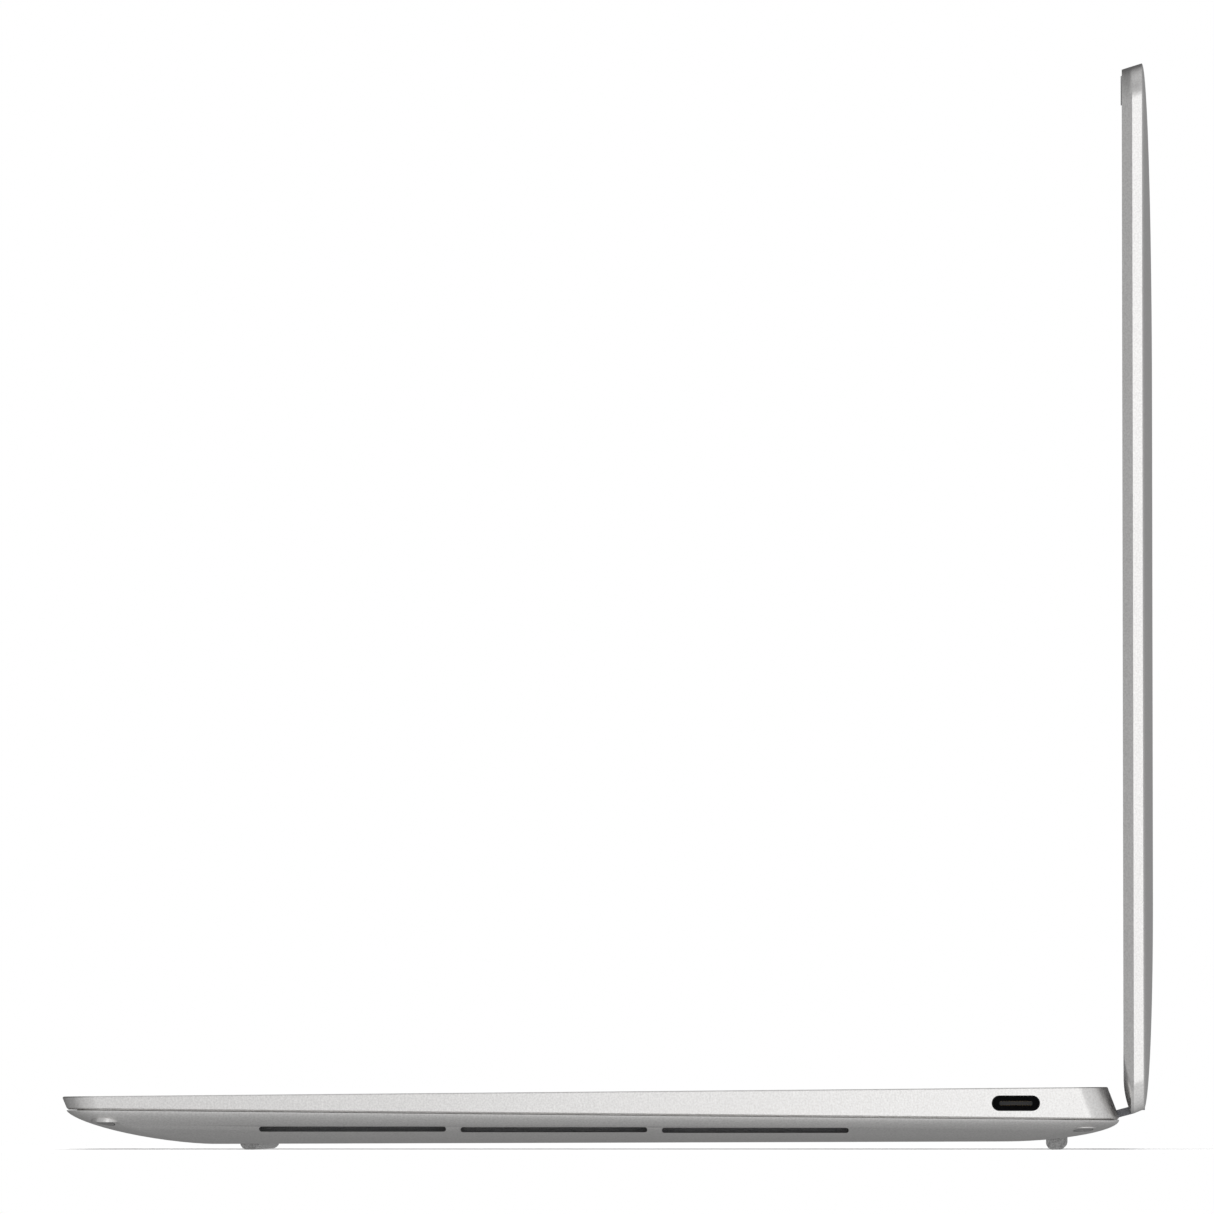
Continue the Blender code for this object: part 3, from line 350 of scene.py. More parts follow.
def finish_piece(piece, body, *nodes, slot=None):
    """Puts a piece on its body, in place of the frame's nodes, and says how big it came out."""
    smooth(piece)
    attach(piece, body)
    if nodes:
        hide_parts(*nodes)
    size = [round(v / MM, 2) for v in piece.dimensions]
    print(piece.name, "on", body, size, "mm,", len(piece.data.polygons), "faces")
    return piece


def block(x0, x1, y0, y1, z0, z1, name="block"):
    """A box between two corners, in metres, applied to its mesh."""
    clear_selection()
    middle = ((x0 + x1) / 2, (y0 + y1) / 2, (z0 + z1) / 2)
    bpy.ops.mesh.primitive_cube_add(size=1, location=middle)
    made = bpy.context.object
    made.name = name
    made.scale = (x1 - x0, y1 - y0, z1 - z0)
    bpy.ops.object.transform_apply(location=True, rotation=True, scale=True)
    return made


# %% [markdown]
# ## The case: deck and side walls
#
# The real one is machined from one billet of aluminium: an upper plate with walls, a fine
# chamfer along the seam and a softened upper edge. It could be a Solidify on a plane, but the
# walls differ from the deck, so the outside is shaped up and a second, smaller shape is carved
# out of it. The notch at the hinge, the key holes, the sockets and the vents follow.

# %% Case, outside and hollow
SEAM_CHAMFER = 0.35
EDGE_SOFT = 0.3
case_rear = DECK_DEPTH + TAIL_LEAN


def case_ring(inset, plane, lift, front=0.0, rear=DECK_DEPTH):
    front, rear = front + inset, rear - inset
    return (HALF_WIDTH - inset, front, rear, height(plane, front) + lift, height(plane, rear) + lift)


case_rings = [
    case_ring(SEAM_CHAMFER, SEAM_HEIGHTS, SEAM_GAP, NOSE_LEAN, case_rear),
    case_ring(0.0, SEAM_HEIGHTS, SEAM_GAP + SEAM_CHAMFER, NOSE_LEAN, case_rear),
]
for degrees in (0, 30, 60, 90):
    turn = math.radians(degrees)
    inset, drop = EDGE_SOFT * (1 - math.cos(turn)), EDGE_SOFT * (1 - math.sin(turn))
    case_rings.append(case_ring(inset, DECK_HEIGHTS, -drop))
case = shape_up("case_shell", case_rings)
WALL = 1.8
CAVITY_REAR = 189.2
hollow = shape_up(
    "case_hollow",
    [
        (HALF_WIDTH - WALL, NOSE_LEAN + WALL, CAVITY_REAR, 4.0, 4.0),
        (
            HALF_WIDTH - WALL,
            NOSE_LEAN + WALL,
            CAVITY_REAR,
            height(DECK_HEIGHTS, NOSE_LEAN + WALL) - DECK_THICKNESS,
            height(DECK_HEIGHTS, CAVITY_REAR) - DECK_THICKNESS,
        ),
    ],
    corner=4.5,
    segments=6,
)
carve(case, hollow)


def round_edges(piece, axis, radius, segments=6, side=None):
    """Bevels the edges that run along an axis, all of them or those on one side in another axis."""
    clear_selection()
    bpy.context.view_layer.objects.active = piece
    bpy.ops.object.mode_set(mode="EDIT")
    bpy.ops.mesh.select_mode(type="EDGE")
    bpy.ops.mesh.select_all(action="DESELECT")
    bpy.ops.object.mode_set(mode="OBJECT")
    points = [v.co for v in piece.data.vertices]
    low = [min(p[i] for p in points) for i in range(3)]
    high = [max(p[i] for p in points) for i in range(3)]
    for edge in piece.data.edges:
        a, b = (points[i] for i in edge.vertices)
        others = [i for i in range(3) if i != axis]
        chosen = all(abs(a[i] - b[i]) < 1e-7 for i in others)
        if side is not None:
            limit = low if side[1] < 0 else high
            chosen = chosen and abs(a[side[0]] - limit[side[0]]) < 1e-7
        edge.select = chosen
    bpy.ops.object.mode_set(mode="EDIT")
    bpy.ops.mesh.bevel(offset=radius, segments=segments, affect="EDGES")
    bpy.ops.object.mode_set(mode="OBJECT")
    return piece


def joined(pieces, name):
    """Several meshes made into one object."""
    clear_selection()
    for piece in pieces:
        piece.select_set(True)
    bpy.context.view_layer.objects.active = pieces[0]
    if len(pieces) > 1:
        bpy.ops.object.join()
    pieces[0].name = name
    pieces[0].select_set(False)
    return pieces[0]


def base_block(x0, x1, y0, y1, z0, z1, name="block"):
    """A box in the base's own millimetres."""
    low, high = at(x0, y0, z0), at(x1, y1, z1)
    return block(low[0], high[0], low[1], high[1], low[2], high[2], name)


def tilt_onto_deck(piece, y):
    """Moves a piece made flat around the origin to the deck's surface at y, and tilts it."""
    piece.rotation_euler.x = DECK_TILT
    piece.location = at(0, y, height(DECK_HEIGHTS, y))
    clear_selection()
    piece.select_set(True)
    bpy.context.view_layer.objects.active = piece
    bpy.ops.object.transform_apply(location=True, rotation=True, scale=True)
    piece.select_set(False)
    return piece


# %% [markdown]
# ## Openings in the case
#
# The walls are whole at first, and the notch for the hinge, the vents and the two sockets are
# milled through them. Each opening is a cutter, so its size can change without new corners.

# %% Case, hinge notch, vents and sockets
HINGE_HALF = 128.6
NOTCH_FRONT = 190.4
SOCKET_Y, SOCKET_Z, SOCKET_WIDTH, SOCKET_HEIGHT = 178.5, 8.72, 9.05, 2.9
notch_half = HINGE_HALF + 2 * GAP
carve(case, base_block(-notch_half, notch_half, NOTCH_FRONT, 210, 0, 20))
FAN_X, FAN_Y = 92.0, 150.0
vents = [
    base_block(x - 1.5, x + 1.5, CAVITY_REAR - 1, NOTCH_FRONT + 1, 4, 8.25)
    for x in (side * FAN_X + step * 4.6 for side in (-1, 1) for step in range(-4, 5))
]
carve(case, joined(vents, "vents"))
socket_hole = base_block(
    -160,
    160,
    SOCKET_Y - SOCKET_WIDTH / 2,
    SOCKET_Y + SOCKET_WIDTH / 2,
    SOCKET_Z - SOCKET_HEIGHT / 2,
    SOCKET_Z + SOCKET_HEIGHT / 2,
)
round_edges(socket_hole, 0, SOCKET_HEIGHT / 2 * MM * 0.999, 12)
carve(case, socket_hole)

# %% [markdown]
# ## The keyboard's grid
#
# Fifteen key pitches fill the deck's width. Each row is a list of legends with a width in key
# pitches and the body that carries the key, so the holes, the caps and the legends all come
# from one list. Where several keys share a body they still get a cap each.

# %% Key layout
PITCH, ROW_PITCH, TOP_ROW_PITCH = 18.2, 17.8, 12.0
KEYBOARD_FRONT = 82.5
KEY_WEB = 1.4


def shared(body, legends):
    return [(legend, 1, body) for legend in legends]


ROWS = (
    [
        ("ctrl", 1, "key_control_left"),
        ("fn", 1, "key_function"),
        ("", 1, "key_system"),
        ("alt", 1.25, "key_alt_left"),
        ("", 5.5, "key_space"),
        ("alt", 1.25, "key_alt_right"),
        ("ctrl", 1, "key_control_right"),
        ("<", 1, "key_arrow_left"),
        ("v^", 1, "key_arrow_down key_arrow_up"),
        (">", 1, "key_arrow_right"),
    ],
    [
        ("shift", 2.25, "key_shift_left"),
        *shared("keys_lower_row", ["Z", "X", "C", "V", "B", "N", "M", "< ,", "> .", "? /"]),
        ("shift", 2.75, "key_shift_right"),
    ],
    [
        ("caps lock", 1.75, "key_caps_lock"),
        *shared("keys_middle_row", [*"ASDFGHJKL", ": ;", "\" '"]),
        ("enter", 2.25, "key_enter"),
    ],
    [
        ("tab", 1.5, "key_tab"),
        *shared("keys_upper_row", [*"QWERTYUIOP", "{ [", "} ]"]),
        ("| \\", 1.5, "key_backslash"),
    ],
    [
        *shared(
            "keys_number_row",
            ["~ `", "! 1", "@ 2", "# 3", "$ 4", "% 5", "^ 6", "& 7", "* 8", "( 9", ") 0", "_ -", "+ ="],
        ),
        ("backspace", 2, "key_backspace"),
    ],
    [
        ("esc", 1, "key_escape"),
        *shared("keys_function_row", [f"F{number}" for number in range(1, 13)]),
        ("delete", 1, "key_delete"),
        ("power", 1, "power_button"),
    ],
)


def key_list():
    """Every key as (legend, body, x0, x1, y0, y1), in millimetres along the deck."""
    keys, y = [], KEYBOARD_FRONT
    for row in ROWS:
        depth = TOP_ROW_PITCH if row is ROWS[-1] else ROW_PITCH
        x = -7.5 * PITCH
        for legend, units, body in row:
            x1 = x + units * PITCH
            if legend == "v^":
                down, up = body.split()
                keys.append(("v", down, x, x1, y, y + depth / 2))
                keys.append(("^", up, x, x1, y + depth / 2, y + depth))
            else:
                keys.append((legend, body, x, x1, y, y + depth))
            x = x1
        y += depth
    return keys


KEYS = key_list()
print(len(KEYS), "keys")

# %% [markdown]
# ## Openings in the deck
#
# Every hole comes from the same layout as its cap, so the gap round each cap stays even. A grid
# of equal holes would be quicker, but wide keys need wide holes.

# %% Key holes and touchpad opening
def deck_cutter(x0, x1, y0, y1, radius):
    """A round-cornered cutter that stands square to the deck."""
    middle = (y0 + y1) / 2
    half_depth = (y1 - y0) / 2 * MM
    cutter = block(x0 * MM, x1 * MM, -half_depth, half_depth, -2 * MM, 1 * MM)
    round_edges(cutter, 2, radius * MM, 3)
    return tilt_onto_deck(cutter, middle)


holes = []
for legend, body, x0, x1, y0, y1 in KEYS:
    web = KEY_WEB / 2
    holes.append(deck_cutter(x0 + web, x1 - web, y0 + web, y1 - web, 1.2))
PAD_HALF, PAD_FRONT, PAD_REAR = 56.0, 12.0, 76.0
holes.append(deck_cutter(-PAD_HALF - GAP, PAD_HALF + GAP, PAD_FRONT - GAP, PAD_REAR + GAP, 2.0))
carve(case, joined(holes, "deck_holes"))
finish_piece(case, "base", "top_case", slot="case_aluminium")

# %% [markdown]
# ## The keycaps
#
# A cap starts as a block. Its upright edges get a round and its rim a softer one, then the top face is
# inset and pushed down a fraction, which gives the shallow dish that a fingertip finds. Each key has
# its own cap, and all ride on their bodies.

# %% Keycaps
CAP_GAP = 0.3
CAP_TOP, CAP_HEIGHT = -0.15, 1.75


def keycap(name, x0, x1, y0, y1):
    middle = (y0 + y1) / 2
    half = (y1 - y0) / 2 * MM
    cap = block(x0 * MM, x1 * MM, -half, half, (CAP_TOP - CAP_HEIGHT) * MM, CAP_TOP * MM, name)
    round_edges(cap, 2, 0.9 * MM, 3)
    clear_selection()
    bpy.context.view_layer.objects.active = cap
    bpy.ops.object.mode_set(mode="EDIT")
    bpy.ops.mesh.select_mode(type="FACE")
    bpy.ops.mesh.select_all(action="DESELECT")
    bpy.ops.object.mode_set(mode="OBJECT")
    for face in cap.data.polygons:
        face.select = face.normal.z > 0.9
    bpy.ops.object.mode_set(mode="EDIT")
    bpy.ops.mesh.bevel(offset=0.28 * MM, segments=2, affect="EDGES")
    bpy.ops.mesh.select_all(action="DESELECT")
    bpy.ops.object.mode_set(mode="OBJECT")
    top = max(cap.data.polygons, key=lambda face: face.area * (face.normal.z > 0.9))
    for face in cap.data.polygons:
        face.select = face.index == top.index
    bpy.ops.object.mode_set(mode="EDIT")
    centre = ((x0 + x1) / 2 * MM, 0, CAP_TOP * MM)
    for margin, drop in ((1.2, 0.03), (2.4, 0.03)):
        across, along = (x1 - x0) / 2 * MM, half
        grow = ((across - margin * MM) / across, (along - margin * MM) / along, 1)
        bpy.ops.mesh.extrude_region_move()
        bpy.ops.transform.resize(value=grow, center_override=centre)
        bpy.ops.transform.translate(value=(0, 0, -drop * MM))
    bpy.ops.object.mode_set(mode="OBJECT")
    return tilt_onto_deck(cap, middle)


caps = {}
for legend, body, x0, x1, y0, y1 in KEYS:
    inset = KEY_WEB / 2 + CAP_GAP
    cap = keycap("cap", x0 + inset, x1 - inset, y0 + inset, y1 - inset)
    caps.setdefault(body, []).append(cap)
key_pieces = [
    finish_piece(joined(made, f"{body}_caps"), body, body, slot="keycap")
    for body, made in caps.items()
]

# %% [markdown]
# ## Legends
#
# The letters are printed on the caps. Each is a text object made into a thin mesh, turned flat
# onto the deck and joined with the others of its body, so it goes down with its key.

# %% Legends
SIGNS = {"power": "O", "<": "\u25c0", ">": "\u25b6", "^": "\u25b2", "v": "\u25bc"}


def legend_mesh(text, x, y, size, lift):
    """Flat letters on the deck, centred on a place in millimetres, as a mesh."""
    clear_selection()
    bpy.ops.object.text_add()
    letters = bpy.context.object
    letters.data.body = text
    letters.data.size = size * MM
    letters.data.align_x, letters.data.align_y = "CENTER", "CENTER"
    letters.data.extrude = 0.015 * MM
    letters.data.resolution_u = 3
    bpy.ops.object.convert(target="MESH")
    letters = bpy.context.object
    letters.location = (x * MM, 0, lift * MM)
    bpy.ops.object.transform_apply(location=True, rotation=True, scale=True)
    return tilt_onto_deck(letters, y)


legends = {}
for legend, body, x0, x1, y0, y1 in KEYS:
    if not legend:
        continue
    words = SIGNS.get(legend, legend)
    size = 3.0 if len(words) > 1 or y1 - y0 < 15 else 4.6
    made = legend_mesh(words, (x0 + x1) / 2, (y0 + y1) / 2, size, CAP_TOP - 0.055)
    legends.setdefault(body, []).append(made)
legend_pieces = [
    finish_piece(joined(made, f"{body}_legend"), body) for body, made in legends.items()
]

# %% [markdown]
# ## The touchpad
#
# One etched glass plate in the deck, flush but for a hair, with its rim polished round. It is a
# block with rounded corners and a small bevel, and it tips on its rear edge when pressed.

# %% Touchpad
PAD_DROP, PAD_THICKNESS = 0.05, 1.5
pad_half_depth = (PAD_REAR - PAD_FRONT) / 2 * MM
pad = block(
    -PAD_HALF * MM,
    PAD_HALF * MM,
    -pad_half_depth,
    pad_half_depth,
    -(PAD_DROP + PAD_THICKNESS) * MM,
    -PAD_DROP * MM,
    "touchpad_plate",
)
round_edges(pad, 2, 1.8 * MM, 8)
bevel = pad.modifiers.new("rim", "BEVEL")
bevel.width, bevel.segments, bevel.limit_method = 0.12 * MM, 2, "ANGLE"
bpy.context.view_layer.objects.active = pad
bpy.ops.object.modifier_apply(modifier="rim")
tilt_onto_deck(pad, (PAD_FRONT + PAD_REAR) / 2)
finish_piece(pad, "touchpad", "touchpad", slot="touchpad_glass")

# %% [markdown]
# ## The bottom cover
#
# A pressed and machined tray. Its edge starts upright at the seam and rolls under, faster at
# the sides than at the front, which makes the base look thinner than it is. The roll follows
# one curve, worked out here by a small formula, and a chain of scaled rings follows the curve.

# %% Bottom cover, outside and hollow
FRONT_CURVE, SIDE_CURVE, REAR_CURVE = 27.0, 20.0, 21.0
FRONT_ROUNDNESS, REAR_ROUNDNESS = 1.5, 1.85
COVER_WALL = 1.0


def bulge(level, roundness):
    """How far in an edge has rolled at this share of its drop."""
    return 1 - (1 - level**roundness) ** (1 / roundness)


def cover_plane(level, y, lift=0.0):
    top = height(SEAM_HEIGHTS, y) - SEAM_GAP
    return top + (height(BOTTOM_HEIGHTS, y) - top) * level + lift


def cover_ring(level, inset=0.0):
    half = HALF_WIDTH - SIDE_CURVE * bulge(level, FRONT_ROUNDNESS) - inset
    front = NOSE_LEAN + FRONT_CURVE * bulge(level, FRONT_ROUNDNESS) + inset
    rear = case_rear - REAR_CURVE * bulge(level, REAR_ROUNDNESS) - inset
    lift = inset * level
    return (half, front, rear, cover_plane(level, front, lift), cover_plane(level, rear, lift))


def cover_surface(x, y):
    """The height of the cover's outer face at a place, found by halving."""
    low, high = 0.0, 1.0
    for _ in range(30):
        level = (low + high) / 2
        half, front, rear = cover_ring(level)[:3]
        low, high = (level, high) if abs(x) < half and front < y < rear else (low, level)
    return cover_plane(low, y)


STEPS = 18
levels = [0.5 - 0.5 * math.cos(math.pi * step / STEPS) for step in range(STEPS + 1)]
outside = [cover_ring(level) for level in reversed(levels)]
inside = [cover_ring(level, COVER_WALL) for level in levels[::2]]
cover = shape_up("cover_shell", outside + inside, corner=5.2, segments=10)
print("cover:", [round(v / MM, 2) for v in cover.dimensions])

# %% [markdown]
# ## Openings in the cover
#
# Long side slots let air in, grooves take the feet, and seats take the screws. The screws' heads
# are cut out first, from copies of the cover, so that they follow its curve.

# %% Slots, grooves and seats in the cover
SLOT_LENGTH, SLOT_GAP, SLOT_HEIGHT, SLOT_FRONT, SLOT_Z = 35.0, 2.7, 0.95, 36.8, 3.75
slots = []
for index in range(3):
    front = SLOT_FRONT + index * (SLOT_LENGTH + SLOT_GAP)
    z = SLOT_Z + 0.17 * (0.7 - 0.68 * index)
    for side in (-1, 1):
        x0, x1 = sorted((side * (HALF_WIDTH - 13), side * (HALF_WIDTH + 5)))
        slot_cut = base_block(
            x0, x1, front, front + SLOT_LENGTH, z - SLOT_HEIGHT / 2, z + SLOT_HEIGHT / 2
        )
        slots.append(round_edges(slot_cut, 0, SLOT_HEIGHT / 2 * MM * 0.999, 6))
carve(cover, joined(slots, "side_slots"))
carve(cover, base_block(-notch_half, notch_half, NOTCH_FRONT + 1.6, 210, 0, 20))
intakes = []
for side in (-1, 1):
    for index in range(-4, 5):
        y = FAN_Y + index * 3.6
        reach = math.sqrt(17**2 - (index * 3.6) ** 2)
        x = side * FAN_X
        intake = base_block(x - reach, x + reach, y - 0.8, y + 0.8, 0, 3.2)
        intakes.append(round_edges(intake, 2, 0.78 * MM, 4))
carve(cover, joined(intakes, "intakes"))
FOOT_WIDTH, FOOT_RADIUS, FOOT_HALF, FOOT_SINK = 3.8, 1.3, 118.0, 0.45
FEET = (("front_foot", 34.8), ("rear_foot", 186.0))
for name, y in FEET:
    top = cover_surface(0, y) + FOOT_SINK + GAP
    reach, half = FOOT_HALF + GAP, FOOT_WIDTH / 2 + GAP
    groove = base_block(-reach, reach, y - half, y + half, -1, top)
    carve(cover, round_edges(groove, 2, 1.2 * MM, 5))


def disc(x, y, radius, z0, z1, sides=32, name="disc"):
    """An upright round bar, in millimetres."""
    clear_selection()
    bpy.ops.mesh.primitive_cylinder_add(
        vertices=sides, radius=radius * MM, depth=(z1 - z0) * MM, location=at(x, y, (z0 + z1) / 2)
    )
    made = bpy.context.object
    made.name = name
    bpy.ops.object.transform_apply(location=True, rotation=True, scale=True)
    return made


SCREW_RADIUS, HEAD_HEIGHT = 1.75, 0.8
SCREWS = (
    ("cover_screw_front_left", -(HALF_WIDTH - 4.2), 8.0),
    ("cover_screw_front_centre_left", -48.0, 8.0),
    ("cover_screw_front_centre_right", 48.0, 8.0),
    ("cover_screw_front_right", HALF_WIDTH - 4.2, 8.0),
    ("cover_screw_rear_left", -(HALF_WIDTH - 5.6), DECK_DEPTH - 4.6),
    ("cover_screw_rear_right", HALF_WIDTH - 5.6, DECK_DEPTH - 4.6),
)
RING_GAP = 0.13
heads = {}
for name, x, y in SCREWS:
    seat = cover_surface(x, y) + HEAD_HEIGHT + 0.35
    carve(cover, disc(x, y, 2.7, seat - 0.5, seat + 0.9), "UNION")
    clear_selection()
    cover.select_set(True)
    bpy.context.view_layer.objects.active = cover
    bpy.ops.object.duplicate()
    head = bpy.context.object
    head.name = f"{name}_head"
    heads[name] = carve(head, disc(x, y, SCREW_RADIUS, 0, seat - 0.02), "INTERSECT")
    carve(cover, disc(x, y, SCREW_RADIUS + RING_GAP, 0, seat))
    carve(cover, disc(x, y, 1.1, 0, 15, 16))
finish_piece(cover, "base", "bottom_cover", slot="cover_aluminium")

# %% [markdown]
# ## Lip and slot lining
#
# A lip on the cover stands up inside the case's wall, so no light shows through the seam. Dark
# mesh strips stand behind the side slots, as speaker openings have, and keep dust out.

# %% Lip and slot lining
LIP_WALL, LIP_RISE = 0.7, 0.8


def lip_ring(inset, lift):
    side = WALL + 0.15 + inset
    front, rear = NOSE_LEAN + side, CAVITY_REAR - 0.15 - inset
    low, high = height(SEAM_HEIGHTS, front), height(SEAM_HEIGHTS, rear)
    return (HALF_WIDTH - side, front, rear, low + lift, high + lift)


lip = shape_up("cover_lip", [lip_ring(0, -LIP_RISE), lip_ring(0, LIP_RISE)], 4.4, 6)
inner = shape_up("lip_hole", [lip_ring(LIP_WALL, -2), lip_ring(LIP_WALL, 2)], 3.8, 6)
carve(lip, inner)
finish_piece(lip, "base", slot="cover_aluminium")
LINING_X, LINING_LOW, LINING_HIGH = 136.0, 3.2, 5.5
linings = []
for side in (-1, 1):
    x0, x1 = sorted((side * LINING_X, side * (LINING_X + 0.8)))
    strip = base_block(x0, x1, SLOT_FRONT - 2, SLOT_FRONT + 112, LINING_LOW, LINING_HIGH)
    linings.append(round_edges(strip, 0, 0.3 * MM, 3))
lining = finish_piece(joined(linings, "slot_lining"), "base", slot="speaker_plastic")

# %% [markdown]
# ## Screws
#
# The screws' heads are ground flush with the cover's curve, so each is cut from a copy of the
# cover's own surface, with a fine ring of shadow about it. The six-lobed socket, which a driver
# can't slip out of, is six small round cuts about a larger one.

# %% Screws
for name, x, y in SCREWS:
    seat = cover_surface(x, y) + HEAD_HEIGHT + 0.35
    head, socket_top = heads[name], cover_surface(x, y) + 0.15
    carve(head, disc(x, y, 0.55, 0, socket_top, 24))
    for lobe in range(6):
        turn = math.radians(60 * lobe)
        lobe_x, lobe_y = x + 0.55 * math.cos(turn), y + 0.55 * math.sin(turn)
        carve(head, disc(lobe_x, lobe_y, 0.18, 0, socket_top, 14))
    carve(head, disc(x, y, 0.8, seat - 0.3, seat + 3.2, 20), "UNION")
    finish_piece(head, "base", name, slot="screw_steel")

# %% [markdown]
# ## Feet
#
# The feet are cords of speckled rubber glued into the grooves, with a round underside. A curve
# with a round bevel would do as well, but a bevelled block keeps the flat side for the glue.

# %% Feet
for name, y in FEET:
    top = cover_surface(0, y) + FOOT_SINK
    half = FOOT_WIDTH / 2
    foot = base_block(-FOOT_HALF, FOOT_HALF, y - half, y + half, 0, top, f"{name}_cord")
    round_edges(foot, 0, FOOT_RADIUS * MM, 8, side=(2, -1))
    bevel = foot.modifiers.new("rim", "BEVEL")
    bevel.width, bevel.segments, bevel.limit_method = 0.3 * MM, 3, "ANGLE"
    bevel.angle_limit = math.radians(50)
    bpy.context.view_layer.objects.active = foot
    bpy.ops.object.modifier_apply(modifier="rim")
    finish_piece(foot, "base", name, slot="foot_rubber")

# %% [markdown]
# ## The sockets
#
# A USB-C socket is a drawn steel tube with flattened sides. The plug slides over a tongue in
# its middle, which is black plastic with a row of plated contacts on each face.

# %% Sockets
TUBE_WIDTH, TUBE_HEIGHT, TUBE_WALL, TUBE_LENGTH = 9.2, 3.1, 0.32, 6.9
mouth = HALF_WIDTH - WALL - GAP
tongues, contacts = {}, {}


def tube(side, near, far, width, tall, name):
    x0, x1 = sorted((side * near, side * far))
    made = base_block(
        x0,
        x1,
        SOCKET_Y - width / 2,
        SOCKET_Y + width / 2,
        SOCKET_Z - tall / 2,
        SOCKET_Z + tall / 2,
        name,
    )
    return made


for side, name in ((-1, "usb_c_port_left"), (1, "usb_c_port_right")):
    shell = tube(side, mouth, mouth - TUBE_LENGTH, TUBE_WIDTH, TUBE_HEIGHT, f"{name}_tube")
    round_edges(shell, 0, TUBE_HEIGHT / 2 * MM * 0.999, 12)
    hollow_height = TUBE_HEIGHT - 2 * TUBE_WALL
    bore = tube(
        side, mouth + 1, mouth - TUBE_LENGTH + 0.7, TUBE_WIDTH - 2 * TUBE_WALL, hollow_height, "bore"
    )
    carve(shell, round_edges(bore, 0, hollow_height / 2 * MM * 0.999, 12))
    finish_piece(shell, "base", name, slot="port_steel")
    tongue = tube(side, mouth - 1.0, mouth - TUBE_LENGTH + 0.4, 6.2, 0.7, f"{name}_tongue")
    round_edges(tongue, 0, 0.2 * MM, 3)
    tongues[side] = finish_piece(tongue, "base", slot="port_steel")
    pads = []
    for index in range(12):
        y = SOCKET_Y + (index - 5.5) * 0.5
        for face in (-1, 1):
            z0, z1 = sorted((SOCKET_Z + face * 0.33, SOCKET_Z + face * 0.38))
            x0, x1 = sorted((side * (mouth - 1.2), side * (mouth - 5.5)))
            pads.append(base_block(x0, x1, y - 0.13, y + 0.13, z0, z1))
    contacts[side] = finish_piece(joined(pads, f"{name}_contacts"), "base", slot="port_steel")

# %% [markdown]
# ## The lid
#
# The lid is a thin aluminium shell. Its front rim is chamfered, its side is upright and its
# back is a very shallow dome. It is shaped up lying on its face, then the glass recess, the
# panel's pocket and the hinge notch are carved, and it is stood up on the hinge.

# %% Lid
LID_FRONT, LID_CHAMFER_END, LID_WALL_END, LID_BACK = 4.5, 6.45, 8.25, 10.1
FOOT_CURVE_HEIGHT, FOOT_CURVE_DEPTH, FOOT_CURVE_ROUNDNESS = 7.2, 1.4, 2.3
LID_TOP, LID_BOTTOM, LID_TOP_LEAN, LID_SIDE_CHAMFER, LID_RIM = 195.85, -0.74, 1.15, 1.2, 2.05
SIDE_DOME, TOP_DOME, BOTTOM_DOME = 55.0, 62.0, 40.0


def flat(x, y, z):
    """A place on the lid as it lies on its face."""
    return (x * MM, y * MM, z * MM)


def lid_block(x0, x1, depth0, depth1, up0, up1):
    """A cutter in the lid's own millimetres, lying on its face."""
    return block(x0 * MM, x1 * MM, up0 * MM, up1 * MM, -depth1 * MM, -depth0 * MM)


def lid_ring(depth, inset, top, foot):
    return (HALF_WIDTH - inset, foot, top, -depth, -depth)


def lid_top(depth):
    return LID_TOP - LID_TOP_LEAN * (LID_WALL_END - depth) / (LID_WALL_END - LID_FRONT)


lid_rings = []
for step in range(11):
    share = step / 10
    depth = LID_FRONT + FOOT_CURVE_DEPTH * share**FOOT_CURVE_ROUNDNESS
    inset = LID_SIDE_CHAMFER * (LID_CHAMFER_END - depth) / (LID_CHAMFER_END - LID_FRONT)
    foot = LID_BOTTOM + FOOT_CURVE_HEIGHT * (1 - share)
    lid_rings.append(lid_ring(depth, inset, lid_top(depth), foot))
lid_rings.append(lid_ring(LID_CHAMFER_END, 0.0, lid_top(LID_CHAMFER_END), LID_BOTTOM))
lid_rings.append(lid_ring(LID_WALL_END, 0.0, LID_TOP, 0.0))
for step in range(1, 19):
    turn = math.radians(5 * step)
    share = 1 - math.cos(turn)
    depth = LID_WALL_END + (LID_BACK - LID_WALL_END) * math.sin(turn)
    top, foot = LID_TOP - TOP_DOME * share, BOTTOM_DOME * share
    lid_rings.append(lid_ring(depth, SIDE_DOME * share, top, foot))
lid = shape_up("lid_shell", lid_rings, segments=10, at=flat)
GLASS_SEAT = LID_FRONT + 1.05
glass_top = lid_top(LID_FRONT) - LID_RIM + LID_SIDE_CHAMFER
recess = lid_block(-(HALF_WIDTH - LID_RIM), HALF_WIDTH - LID_RIM, 0, GLASS_SEAT, 6.2, glass_top)
carve(lid, round_edges(recess, 2, 4.5 * MM, 6))
PANEL_HALF = HALF_WIDTH - 5.65 + GAP
carve(lid, lid_block(-PANEL_HALF, PANEL_HALF, 0, 8.0, 8.5, 193.3))
carve(lid, lid_block(-HINGE_HALF - GAP, HINGE_HALF + GAP, 0, 20, -10, 1.1 + GAP))
arm_pockets = []
for side in (-1, 1):
    x0, x1 = sorted((side * (HINGE_HALF - 10.3 - GAP), side * (HINGE_HALF + GAP)))
    arm_pockets.append(lid_block(x0, x1, 6.0 - GAP, 7.4 + GAP, 0, 10))
carve(lid, joined(arm_pockets, "arm_pockets"))
lid.rotation_euler.x = math.pi / 2 + LID_TILT
lid.location = at(0, HINGE_Y, HINGE_Z)
clear_selection()
lid.select_set(True)
bpy.context.view_layer.objects.active = lid
bpy.ops.object.transform_apply(location=True, rotation=True, scale=True)
finish_piece(lid, "lid", "lid_cover", slot="lid_aluminium")
